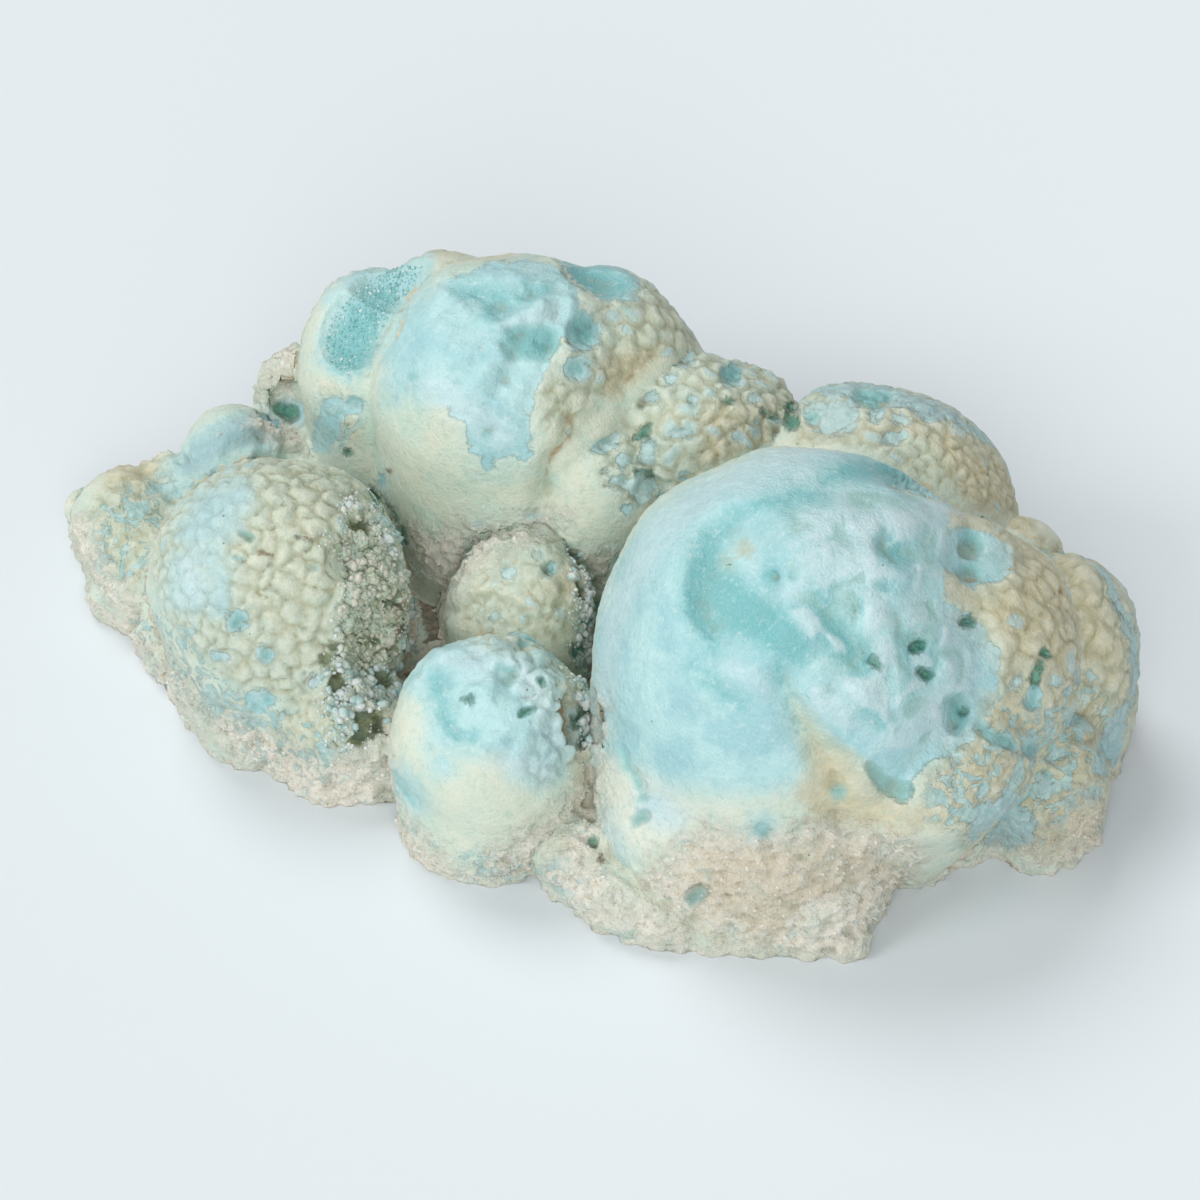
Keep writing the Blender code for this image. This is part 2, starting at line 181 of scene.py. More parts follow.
MATRIX = {
    "middle": (-5, 10, 1, 58, 34, 4, 0, 1, 0, 0),
    "right": (38, 2, 1, 34, 30, 5, 0, 1, 0, 0),
    "left_slope": (-36, -13, 7, 15, 9.5, 11, -32, 1, 0, 0),
    "left_heel": (-57.5, 6.5, 4, 8, 6, 7, -35, 0.95, 0, 0),
    "front_ledge": (6.5, -44, 3, 12, 6, 5, -30, 0.95, 0, 0),
    "front_foot": (31, -42, 5, 10.5, 11, 10, 0, 1, 0, 0),
    "front_knob": (35.5, -50.5, 1.5, 3.5, 3.5, 3, 0, 0.95, 0, 0),
    "front_gap": (0.5, -36, 4, 8, 8.5, 6, 0, 0.95, 0, 0),
    "chalk_shelf": (-9, 9.5, 6, 12, 9, 10, 0, 1, 0, 0),
    "far_left_back": (-60, 30, 8, 9, 8, 9, 0, 0.95, 0, 0),
    "left_saddle": (-58, 21, 6, 15, 13, 9, -20, 0.95, 0, 0),
    "back_saddle": (-44, 36, 10, 12, 13, 9, 0, 0.95, 0, 0),
    "rear_shelf": (-8, 43.5, 3, 44, 11, 9, -6, 1, 0, 0),
    "rear_shelf_right": (42, 25, 3, 26, 13, 9, -38, 1, 0, 0),
    "left_back_fill": (-40, 32, 4, 26, 20, 5, 15, 0.95, 0, 0),
}
SHAPES = {**DOMES, **MATRIX}
print(len(DOMES), "domes and", len(MATRIX), "mounds of matrix")

# %% [markdown]
# ## One fused skin
# Separate balls would leave seams inside the stone. The Remesh modifier in voxel mode reads all the balls as
# one volume and lays a single closed skin over it. A few rounds of smoothing take the steps off, and the
# creases between domes stay, because there the skin really turns a corner.

# %% Helpers for balls, domes and modifiers
STEM_FROM = 0.5


def unit_ball(rounds):
    """Corners and triangles of a ball of radius one."""
    ball = bmesh.new()
    bmesh.ops.create_icosphere(ball, subdivisions=rounds, radius=1.0)
    corners = np.array([corner.co for corner in ball.verts])
    faces = np.array([[corner.index for corner in face.verts] for face in ball.faces])
    ball.free()
    return corners, faces


def dome_corners(ball, values):
    """The ball's corners as one dome: a cap above its centre, and a stem down past the cut."""
    x, y, z, wide, deep, rise, turn, foot, lean_x, lean_y = values
    up = ball[:, 2]
    flat = np.maximum(np.hypot(ball[:, 0], ball[:, 1]), 1e-9)
    share = np.clip(-up / STEM_FROM, 0.0, 1.0)
    round_to = 1.0 - (1.0 - foot) * share
    full = np.sqrt(1.0 - np.clip(up, -STEM_FROM, 0.0) ** 2)
    stretch = np.where(up < 0.0, round_to / np.where(up > -STEM_FROM, flat, full), 1.0)
    across = ball[:, 0] * stretch * wide
    along = ball[:, 1] * stretch * deep
    height = np.where(up < 0.0, z - share * (z + BELOW_CUT), z + rise * up)
    cos, sin = math.cos(math.radians(turn)), math.sin(math.radians(turn))
    east = x + across * cos - along * sin + lean_x * share
    north = y + across * sin + along * cos + lean_y * share
    return np.stack((east, north, height), axis=1) - MIDDLE


def holder_of(data):
    """A new object in the scene that carries the mesh."""
    holder = bpy.data.objects.new(data.name, data)
    bpy.context.scene.collection.objects.link(holder)
    return holder


def baked(holder):
    """The object's mesh as its modifiers leave it, with the object removed."""
    bpy.context.view_layer.update()
    graph = bpy.context.evaluated_depsgraph_get()
    data = bpy.data.meshes.new_from_object(holder.evaluated_get(graph))
    bpy.data.objects.remove(holder, do_unlink=True)
    return data


print("the stem starts", STEM_FROM, "of the half height below a dome's centre")

# %% Fuse the domes in one skin
GRID_STEP = 0.44
SMOOTHING = 4
BALL_ROUNDS = 5


def fused_skin(step):
    """All domes and matrix mounds as one closed skin with a vertex about every step."""
    ball, faces = unit_ball(BALL_ROUNDS)
    corners = np.concatenate([dome_corners(ball, values) for values in SHAPES.values()])
    joined = np.concatenate([faces + len(ball) * index for index in range(len(SHAPES))])
    data = bpy.data.meshes.new("domes")
    data.from_pydata(corners.tolist(), [], joined.tolist())
    holder = holder_of(data)
    fuse = holder.modifiers.new("fuse", "REMESH")
    fuse.mode = "VOXEL"
    fuse.voxel_size = step
    soften = holder.modifiers.new("soften", "SMOOTH")
    soften.factor = 0.5
    soften.iterations = SMOOTHING
    return baked(holder)


def read_skin(data):
    """The points and outward directions of a mesh."""
    points = np.empty(len(data.vertices) * 3, np.float32)
    data.vertices.foreach_get("co", points)
    outward = np.empty(len(data.vertices) * 3, np.float32)
    data.vertex_normals.foreach_get("vector", outward)
    return points.reshape(-1, 3).astype(float), outward.reshape(-1, 3).astype(float)


skin = fused_skin(GRID_STEP)
print("fused skin:", len(skin.vertices), "vertices")

# %% [markdown]
# ## Reading a place off the photograph
# Pits, stains and worn patches sit where the photograph shows them. A painter marks them on the picture, so
# the tables below give them as pixels of the photograph, and widths in real millimetres. Each point of the
# skin is projected into the picture. A mark touches a point only where the point is on the dome that the
# mark names and faces the camera, so nothing is painted through the stone onto another side.

# %% Project the skin into the picture
SEEN_CELL = 5
SEEN_SLACK = 4.0
TURNED_AWAY = 0.05
TURNED_EDGE = 0.2


def to_picture(points):
    """Pixel across, pixel down and depth in mm of each point, as the photograph's camera sees it."""
    ray = points - EYE
    depth = ray @ SIGHT
    scale = DISTANCE * PIXELS_PER_MM / depth
    across = PHOTO_SIDE / 2 + ray[:, 0] * scale
    down = PHOTO_SIDE / 2 - (ray @ PICTURE_UP) * scale
    return np.stack((across, down, depth), axis=1)


def seen_share(points, outward):
    """One where the camera sees the skin, falling to zero where it turns away or something hides it."""
    picture = to_picture(points)
    away = points - EYE
    facing = -(outward * away).sum(axis=1) / np.linalg.norm(away, axis=1)
    columns, rows = np.clip(picture[:, :2] / SEEN_CELL, 0, PHOTO_SIDE // SEEN_CELL - 1).astype(int).T
    nearest = np.full((PHOTO_SIDE // SEEN_CELL,) * 2, np.inf)
    np.minimum.at(nearest, (columns, rows), picture[:, 2])
    open_view = picture[:, 2] < nearest[columns, rows] + SEEN_SLACK
    return np.clip((facing + TURNED_AWAY) / TURNED_EDGE, 0.0, 1.0) * open_view


def nearest_shape(points):
    """For each point, the index of the dome or mound whose skin it lies on."""
    best = np.full(len(points), np.inf)
    index = np.zeros(len(points), int)
    for number, values in enumerate(SHAPES.values()):
        x, y, z, wide, deep, rise, turn, foot, lean_x, lean_y = values
        share = np.clip((z - points[:, 2]) / (z + BELOW_CUT), 0.0, 1.0)
        east = points[:, 0] + MIDDLE[0] - x - lean_x * share
        north = points[:, 1] + MIDDLE[1] - y - lean_y * share
        cos, sin = math.cos(math.radians(turn)), math.sin(math.radians(turn))
        narrow = 1.0 - (1.0 - foot) * share
        across = (east * cos + north * sin) / (wide * narrow)
        along = (north * cos - east * sin) / (deep * narrow)
        up = np.maximum(points[:, 2] - z, 0.0) / rise
        away = (np.sqrt(across ** 2 + along ** 2 + up ** 2) - 1.0) * min(wide, deep, rise)
        closer = away < best
        best[closer] = away[closer]
        index[closer] = number
    return index


print("the eye is at", EYE.round(1), "mm")

# %% [markdown]
# ## Marks
# A mark is either a stroke, a chain of round dabs given by pixel across, pixel down and radius in mm, or an
# outline, a closed run of pixels. A single dab stands alone. Each gives a number for each point of the skin:
# how many millimetres it lies inside the mark. Zero is the edge, and later a noise pushes that edge in and
# out. Tables of marks are grouped by the dome that they lie on, or by a group of domes.

# %% Name the groups of domes, and measure strokes and outlines
FAR_OUT = -6.0
PARTS_OF = {
    "between": ("left", "left_slope", "front_folds", *MATRIX),
    "left_side": ("left", "left_slope"),
    "ridge_foot": ("ridge_front", "ridge", "front_folds", *MATRIX),
    "cleft": ("front", "front_folds", *MATRIX),
    "behind": ("ridge", "ridge_end", "back_right", "rear_gap", *MATRIX),
    "great_back": ("great_back", "back_shoulder", "back_crest"),
    "scooped": ("scooped", "back_crest"),
    "ridge": ("ridge", "ridge_end", "ridge_front"),
    "great_right": ("great_right", "right_shoulder", "right_lobe"),
    "right_side": ("great_right", "right_shoulder", "right_lobe", "right_flank", "right_corner", "right_knob"),
    "left_end": ("left_back", "left_small", "far_left", "far_left_tip", "far_left_back", "left_saddle",
                 "back_saddle"),
}


def along_line(spots, start, end):
    """How far each spot lies from a straight line, and at which share of its length."""
    along = end - start
    share = np.clip((spots - start) @ along / (along @ along), 0.0, 1.0)
    return np.linalg.norm(spots - start - share[:, None] * along, axis=1), share


def stroke_reach(spots, places):
    """How far inside a stroke with round ends each spot lies, in mm."""
    ends = np.array([place[:2] for place in places]) / PIXELS_PER_MM
    radii = [place[2] for place in places]
    reach = radii[0] - np.linalg.norm(spots - ends[0], axis=1)
    for start, end, wide, narrow in zip(ends[:-1], ends[1:], radii[:-1], radii[1:]):
        away, share = along_line(spots, start, end)
        reach = np.maximum(reach, wide + (narrow - wide) * share - away)
    return reach


def outline_reach(spots, places):
    """How far inside a closed outline each spot lies, in mm."""
    corners = np.array(places) / PIXELS_PER_MM
    inside = np.zeros(len(spots), bool)
    away = np.full(len(spots), np.inf)
    for start, end in zip(corners, np.roll(corners, -1, axis=0)):
        along = end - start
        away = np.minimum(away, along_line(spots, start, end)[0])
        between = (start[1] > spots[:, 1]) != (end[1] > spots[:, 1])
        crossing = start[0] + (spots[:, 1] - start[1]) * along[0] / (along[1] if along[1] else 1e-9)
        inside ^= between & (spots[:, 0] < crossing)
    return np.where(inside, away, -away)


print("groups of domes:", ", ".join(PARTS_OF))

# %% The skin as the photograph sees it


class SeenSkin:
    """The skin as the photograph sees it, ready to be marked."""

    def __init__(self, points, outward):
        self.spots = to_picture(points)[:, :2] / PIXELS_PER_MM
        self.share = seen_share(points, outward)
        self.shape = nearest_shape(points)

    def members(self, part):
        """Which points lie on the named dome or group of domes."""
        if part == "all":
            return self.share > 0.0
        names = list(SHAPES)
        wanted = [names.index(name) for name in PARTS_OF.get(part, (part,))]
        return np.isin(self.shape, wanted) & (self.share > 0.0)

    def reach(self, part, mark):
        """How far inside one mark each point lies, in mm, and far outside where it can't be."""
        places = mark if isinstance(mark[0], tuple) else (mark,)
        stroke = len(places[0]) == 3
        corners = np.array([place[:2] for place in places]) / PIXELS_PER_MM
        room = max(place[2] for place in places) if stroke else 0.0
        low, high = corners.min(axis=0) - room + FAR_OUT, corners.max(axis=0) + room - FAR_OUT
        near = self.members(part) & (self.spots > low).all(axis=1) & (self.spots < high).all(axis=1)
        measure = stroke_reach if stroke else outline_reach
        reach = np.full(len(self.spots), FAR_OUT)
        reach[near] = np.maximum(measure(self.spots[near], places), FAR_OUT)
        return reach

    def layer(self, table):
        """How far inside any mark of a table each point lies."""
        reach = np.full(len(self.spots), FAR_OUT)
        for part, marks in table.items():
            for mark in marks:
                reach = np.maximum(reach, self.reach(part, mark))
        return reach


points, outward = read_skin(skin)
seen = SeenSkin(points, outward)
print("points that the camera sees:", int((seen.share > 0.5).sum()), "of", len(points))

# %% [markdown]
# ## Relief that follows a rule
# Some relief repeats: pebbles a few millimetres wide, crumbs on the broken flanks, the grain of the chalk and
# a slight swell of the whole skin. Each is a function of the place, and two helpers serve them all. Waves
# crossing at random make soft unevenness. Scattered seeds divide the skin in cells: each point belongs to
# its nearest seed, and its cell ends where a second seed is just as near.

# %% Waves and cells
WAVE_COUNT = 12
SHORT_WAVE, LONG_WAVE = 0.7, 1.3
SEED_ROOM = 0.72
WEAK_SEED, SEED_PULL = 1.3, 0.5


def waves(points, length, seed):
    """Seeded unevenness of about one unit, with bumps about one length apart."""
    random = np.random.default_rng(seed)
    ways = random.normal(size=(WAVE_COUNT, 3))
    ways /= np.linalg.norm(ways, axis=1, keepdims=True)
    ways *= 2.0 * math.pi / length * random.uniform(SHORT_WAVE, LONG_WAVE, size=(WAVE_COUNT, 1))
    phases = random.uniform(0.0, 2.0 * math.pi, WAVE_COUNT)
    return np.cos(points @ ways.T + phases).sum(axis=1) / math.sqrt(WAVE_COUNT / 2.0)


def swirled(points, amount, length, seeds):
    """The points moved to and fro by waves, so that what is built on them bends."""
    return points + amount * np.stack([waves(points, length, seed) for seed in seeds], axis=1)


def spread_out(points, apart, seed):
    """Indices of random points, none nearer to another than this."""
    left = np.random.default_rng(seed).permutation(len(points))
    taken = []
    while len(left):
        taken.append(left[0])
        left = left[((points[left] - points[left[0]]) ** 2).sum(axis=1) > apart * apart]
    return np.array(taken, int)


def cells(points, size, seed=1):
    """For each point how near it is to its cell's edge, from 0 in the middle to 1, and the cell's number."""
    seeds = points[spread_out(points, SEED_ROOM * size, seed)]
    numbers = np.random.default_rng(seed).random(len(seeds))
    first, second = np.full((2, len(points)), np.inf)
    number = np.zeros(len(points))
    for place, value in zip(seeds, numbers):
        away = ((points - place) ** 2).sum(axis=1) * (WEAK_SEED - SEED_PULL * value)
        closer = away < first
        second = np.where(closer, first, np.minimum(second, away))
        first[closer] = away[closer]
        number[closer] = value
    near, far = np.sqrt(first), np.sqrt(np.minimum(second, (2.0 * size) ** 2))
    return 2.0 * near / (near + far + 1e-9), number


print("waves 17 mm long on the skin reach", round(float(np.abs(waves(points, 17.0, 3)).max()), 2))

# %% [markdown]
# ## Pebbles
# Where the blue grew in small balls, the skin is covered with pebbles 3 to 4 mm wide, with finer ones on
# them. A pebble is a round cap on a cell. Where two caps meet, a crease forms by itself, as it does between
# real pebbles. Some tops are worn through to the blue. The patches are outlines on the seen side and balls
# around a place on the hidden side.

# %% Raise the pebbles
# Part, size and rise of the pebbles, size and rise of the finer ones on them, share worn through to the blue,
# then the outline of the patch
PEBBLY = (
    ("left", 3.4, 1.25, 1.8, 0.45, 0.05, (158, 600), (148, 548), (175, 505), (215, 466), (290, 446), (350, 468),
     (378, 512), (345, 545), (338, 600), (338, 655), (305, 705), (255, 700), (210, 670), (180, 640)),
    ("left_slope", 2.6, 0.6, 1.6, 0.3, 0.1, (200, 690), (300, 690), (390, 700), (370, 760), (260, 750)),
    ("ridge", 3.5, 1.35, 2.1, 0.55, 0.3, (596, 398), (640, 368), (690, 346), (760, 358), (802, 400), (802, 440),
     (778, 482), (742, 505), (700, 535), (672, 540), (655, 505), (630, 505), (600, 480), (590, 440)),
    ("great_back", 3.6, 1, 2.1, 0.35, 0.22, (585, 368), (560, 345), (606, 300), (645, 280), (710, 320), (695, 352),
     (650, 362), (620, 388), (590, 402), (576, 440), (545, 432), (538, 390)),
    ("back_right", 2.8, 0.85, 1.7, 0.35, 0.1, (798, 395), (850, 380), (930, 392), (1005, 438), (1050, 490),
     (1055, 525), (990, 510), (930, 480), (870, 450), (798, 445)),
    ("right_side", 3.8, 0.8, 2.1, 0.3, 0.06, (948, 488), (1000, 482), (1048, 540), (1072, 550), (1062, 600),
     (1042, 680), (1010, 702), (980, 650), (950, 610), (990, 600), (1012, 560), (985, 520), (945, 520)),
    ("right_side", 4.6, 1.1, 2.2, 0.28, 0.06, (1058, 560), (1100, 556), (1135, 620), (1142, 700), (1100, 770),
     (1052, 740), (1046, 640)),
    ("right_side", 2.6, 0.5, 1.6, 0.35, 0.04, (940, 740), (1000, 710), (1060, 740), (1110, 780), (1100, 850),
     (960, 850)),
    ("front", 3, 1.2, 1.7, 0.45, 0.55, (440, 640), (480, 620), (545, 636), (590, 680), (590, 760), (545, 790),
     (515, 765), (535, 710), (500, 655)),
    ("front_folds", 2.6, 0.6, 1.6, 0.3, 0.12, (455, 640), (462, 600), (500, 545), (560, 532), (598, 560), (590, 650),
     (540, 645), (500, 655)),
    ("left_end", 2.8, 0.35, 1.6, 0.2, 0.04, (70, 530), (120, 465), (175, 465), (170, 540), (120, 610)),
)
# Centre and reach of the patches on the hidden sides, size and rise of their pebbles, share worn through
PEBBLY_BEHIND = (
    (-30, 50, 28, 20, 3.6, 1.2, 0.15),
    (34, 32, 26, 22, 3.4, 1.1, 0.2),
    (72, -8, 18, 18, 4.2, 1.2, 0.08),
    (-66, 30, 10, 15, 2.8, 0.7, 0.06),
)
PATCH_EDGE = 5.0
SEEN_EDGE = 1.6
BENT_BY, BENT_OVER = 0.35, 4.0
CAP_CURVE = 0.85
HALF_WAY = 0.75
TALLER = 0.35
PEBBLE_SHARE = 0.85
FINE_SIZE, FINE_RISE = 0.55, 0.3
WORN_EDGE, WORN_SLOPE = 0.62, 0.6
CREASE_FROM, CREASE_WIDTH = 0.8, 0.2
FINE_CREASE = 0.4


def within(points, centre, reach, edge):
    """One inside a ball of this reach and zero outside, over an edge of this width."""
    away = np.linalg.norm(points - (np.array(centre) - MIDDLE), axis=1)
    return np.clip((reach - away) / edge, 0.0, 1.0)


def pebble_cap(edge):
    """The section of a pebble: round on top, and steep into the crease."""
    return np.sqrt(1.0 - CAP_CURVE * edge ** 2)


def creased(edge):
    """One in the crease around a cell, and zero inside it."""
    return np.clip((edge - CREASE_FROM) / CREASE_WIDTH, 0.0, 1.0)


def pebble_relief(points, seen):
    """Rise of the pebbles, how far inside a worn top and how deep between pebbles each point is, and their share."""
    bent = swirled(points, BENT_BY, BENT_OVER, (51, 52, 53))
    rise, groove, pebbly = np.zeros((3, len(points)))
    top = np.full(len(points), FAR_OUT)
    patches = [(np.clip(seen.reach(part, tuple(places)) / SEEN_EDGE + 0.5, 0.0, 1.0) * seen.share, *sizes)
               for part, *sizes, places in [(*row[:6], row[6:]) for row in PEBBLY]]
    patches += [(within(points, place, reach, PATCH_EDGE) * (1.0 - seen.share), size, height, FINE_SIZE * size,
                 FINE_RISE * height, bare) for *place, reach, size, height, bare in PEBBLY_BEHIND]
    for share, size, height, fine, fine_height, bare in patches:
        inside = share > 0.0
        edge, number = cells(bent[inside], size)
        small = cells(points[inside], fine, 2)[0]
        share = share[inside]
        bulge = pebble_cap(edge) - HALF_WAY + TALLER * (number - 0.5)
        rise[inside] += PEBBLE_SHARE * share * (height * bulge + fine_height * (pebble_cap(small) - HALF_WAY))
        worn = np.where(number > 1.0 - bare, (WORN_EDGE - edge) * size * WORN_SLOPE, FAR_OUT)
        top[inside] = np.where(share > 0.4, np.maximum(worn, top[inside]), top[inside])
        groove[inside] = np.maximum(groove[inside], share * (creased(edge) + FINE_CREASE * creased(small)))
        pebbly[inside] = np.maximum(pebbly[inside], share)
    return rise, top, groove, pebbly


pebbles, pebble_tops, grooves, pebbly = pebble_relief(points, seen)
print("pebbles raise", int((pebbles > 0.2).sum()), "points")

# %% [markdown]
# ## Folds, troughs and seams
# The waxy folds and troughs of the great dome, the rims and the seams are soft strokes: raised or sunk along
# a line with a round section. They could be sculpted by hand, but then nobody could read or change them. The
# numbers are read off the photograph one feature at a time.

# %% Folds, troughs and seams as strokes
# By part: half width in mm, rise in mm, then the pixels that the stroke runs through
FOLDS = {
    "great_right": (
        # The basin
        (1.8, 0.6, (735, 495), (700, 525), (682, 560), (677, 605), (684, 650), (704, 690)),
        (3, -1, (745, 515), (714, 538), (700, 575), (703, 615), (716, 650), (740, 660)),
        (1.6, 0.6, (733, 497), (784, 487), (825, 465), (855, 452), (890, 452)),
        (1.8, -1, (790, 497), (820, 480), (850, 468), (900, 467), (925, 475)),
        # The clouds beside it
        (3, 0.8, (805, 532), (835, 514), (865, 516)),
        (0.7, -0.6, (822, 541), (845, 535), (868, 537), (884, 545)),
        (3, 0.9, (806, 562), (835, 553), (868, 562)),
        (2.2, 0.7, (895, 520), (915, 515), (935, 530)),
        (1.2, -0.4, (868, 495), (880, 515), (886, 540)),
        # The star and the teal line
        (1.3, -0.8, (889, 540), (894, 556)),
        (0.9, -0.5, (894, 553), (910, 558)),
        (2.2, 0.8, (905, 584), (925, 572), (942, 588)),
        (0.9, -0.5, (858, 612), (872, 597), (884, 588)),
        (2.2, 1, (876, 625)),
        (2.6, -0.5, (822, 600), (832, 635), (853, 655), (876, 668)),
        # The tongue and the ridge below the basin
        (1.3, 0.5, (780, 640), (768, 664), (745, 672), (727, 669)),
        (1.4, 0.5, (727, 669), (749, 675), (772, 692), (796, 690)),
        (1.2, -0.5, (692, 667), (715, 686), (745, 704), (772, 702)),
        # The lobes
        (2.4, 1, (818, 700), (842, 712)),
        (2.4, 1.1, (862, 704), (882, 728)),
        (2.2, 1, (905, 700), (912, 730)),
        (2.4, 0.8, (938, 640), (945, 668)),
        (1.2, -0.4, (842, 688), (853, 712), (862, 735)),
        # The valley
        (2, -1.3, (791, 692), (798, 715), (815, 742), (832, 775)),
        (1, 0.5, (802, 690), (818, 710), (840, 730), (866, 747)),
        # The scoop in the upper rim
        (1.8, -2.8, (905, 464), (930, 472), (958, 480), (972, 482)),
        (0.8, 1.3, (897, 463), (913, 464), (932, 478), (952, 489), (974, 489)),
    ),
    "right_side": ((1.6, -0.8, (1020, 545), (1030, 590), (1024, 630), (1015, 680)),),
    "great_back": (
        (1.6, -1.2, (466, 290), (480, 288)), (1.7, -1.3, (505, 297), (522, 298)),
        (1.9, -1.3, (476, 314), (496, 312)), (1.3, -1, (540, 287), (553, 288)), (1.4, -0.9, (460, 330), (468, 328)),
        (1.2, 0.5, (455, 280), (490, 276), (530, 278), (562, 295), (570, 312)),
        (1.3, 0.8, (466, 304), (492, 322), (512, 316), (540, 306)), (1.2, 0.4, (470, 390), (486, 392)),
        (1.1, 0.4, (505, 392), (518, 394)), (1.2, 0.6, (553, 262), (566, 286), (590, 303), (612, 304), (628, 293)),
    ),
    "front": (
        (2.6, -1, (450, 690), (455, 718), (478, 728)),
        (1.1, 0.6, (436, 655), (430, 690), (437, 735), (466, 750), (498, 742)),
    ),
    "front_folds": (
        (0.7, -0.7, (452, 612), (470, 600), (490, 596), (512, 606), (530, 622)),
        (0.8, 0.6, (458, 602), (474, 591), (492, 587), (514, 596), (534, 610)),
        (0.6, -0.6, (482, 574), (504, 562), (528, 558), (548, 566)),
        (0.8, 0.5, (486, 566), (506, 554), (530, 550), (552, 558)), (0.7, -0.7, (556, 566), (566, 584), (560, 606)),
    ),
    "left": (
        (0.9, 0.6, (226, 463), (203, 478), (186, 494), (172, 512), (166, 534)),
        (0.9, -0.6, (234, 472), (208, 488), (192, 505), (180, 530)),
    ),
    "all": (
        (0.8, -0.8, (592, 841), (617, 864), (641, 888), (672, 907), (702, 929), (731, 947)),
        (0.9, -0.8, (650, 357), (622, 385), (585, 392), (572, 400), (569, 440), (552, 456), (546, 490)),
    ),
}
FOLD_SHARE = 0.75
FOLD_WIDER = 1.25


def forms(table):
    """Each form of a table as its part, its two sizes and its places."""
    return [(part, *form[:2], form[2:]) for part, group in table.items() for form in group]


def fold_relief(seen, folds):
    """The sum of all strokes of a table, each with a round section."""
    rise = np.zeros(len(seen.spots))
    for part, width, height, places in forms(folds):
        reach = seen.reach(part, tuple((*place, 0.0) for place in places))
        rise += FOLD_SHARE * height * np.exp(-((reach / (FOLD_WIDER * width)) ** 2)) * (reach > FAR_OUT)
    return rise * seen.share


print(len(forms(FOLDS)), "folds, troughs and seams")

# %% [markdown]
# ## Pits, holes and dents
# Pits have a floor and a wall, so their section is a smooth step. They come in three kinds that also differ
# in colour: shallow ones with a teal floor, deep green holes, and plain dents. The same tables drive the
# shape here and the colour further down.

# %% Pits with teal floors
# By part: depth in mm, width of the wall in mm, then dabs of pixel across, pixel down and radius in mm
TEAL_PITS = {
    "great_back": (
        (0.9, 1.8, (520, 342, 2.7), (541, 342, 2.9)), (0.9, 1.5, (583, 332, 2.4)), (0.4, 0.8, (578, 369, 1.3)),
    ),
    "ridge": ((0.5, 0.9, (603, 438, 1.2)), (0.6, 1, (731, 374, 1.8))),
    "back_right": ((0.6, 0.9, (812, 418, 1.1)), (1, 1.3, (862, 397, 1.5), (876, 400, 1.6), (888, 396, 1))),
    "great_right": (
        (0.9, 0.8, (773, 576, 0.8)), (0.5, 0.8, (794, 577, 0.8)), (0.9, 0.5, (839, 792, 1.45)),
        (0.7, 0.6, (871, 767, 0.8), (884, 784, 1.2), (902, 791, 1.4), (908, 788, 1)), (0.3, 0.7, (762, 830, 1.3)),
        (0.9, 0.5, (693, 898, 1.3), (701, 893, 1.2)), (0.5, 0.6, (622, 750, 0.6), (628, 768, 1)),
        (0.5, 0.6, (632, 772, 0.8), (640, 786, 1)), (0.4, 0.5, (643, 798, 0.8)),
        (0.6, 0.6, (636, 821, 1), (644, 816, 1)), (0.3, 0.3, (711, 816, 0.35)),
        (0.7, 1.6, (957, 705, 1.7), (957, 722, 1.8)),
    ),
    "right_side": (
        (1, 1, (973, 545, 1.7)), (0.6, 0.8, (972, 572, 1.5)),
        (0.4, 0.5, (979, 726, 0.9), (994, 738, 1), (1009, 743, 1)), (0.4, 0.5, (1030, 749, 1.2)),
        (0.5, 0.6, (1032, 702, 1.1), (1036, 690, 0.8)),
    ),
    "left": (
        (0.5, 0.6, (237, 621, 1.35)), (0.5, 0.6, (267, 655, 1)), (0.7, 0.5, (243, 534, 0.5), (250, 537, 0.8)),
        (0.5, 0.4, (234, 556, 0.4), (242, 559, 0.5)), (0.5, 0.4, (315, 568, 0.6)),
    ),
    "front": (
        (0.6, 0.8, (500, 668, 0.9), (513, 672, 1), (508, 681, 1)), (0.6, 0.6, (528, 636, 0.7), (522, 648, 0.8)),
        (0.5, 0.5, (394, 773, 0.4), (403, 788, 0.7), (415, 805, 0.4)),
    ),
    "front_folds": ((0.8, 0.6, (571, 547, 0.9), (581, 559, 1.1)), (0.8, 0.5, (550, 569, 0.9))),
}
print(len(forms(TEAL_PITS)), "teal pits")

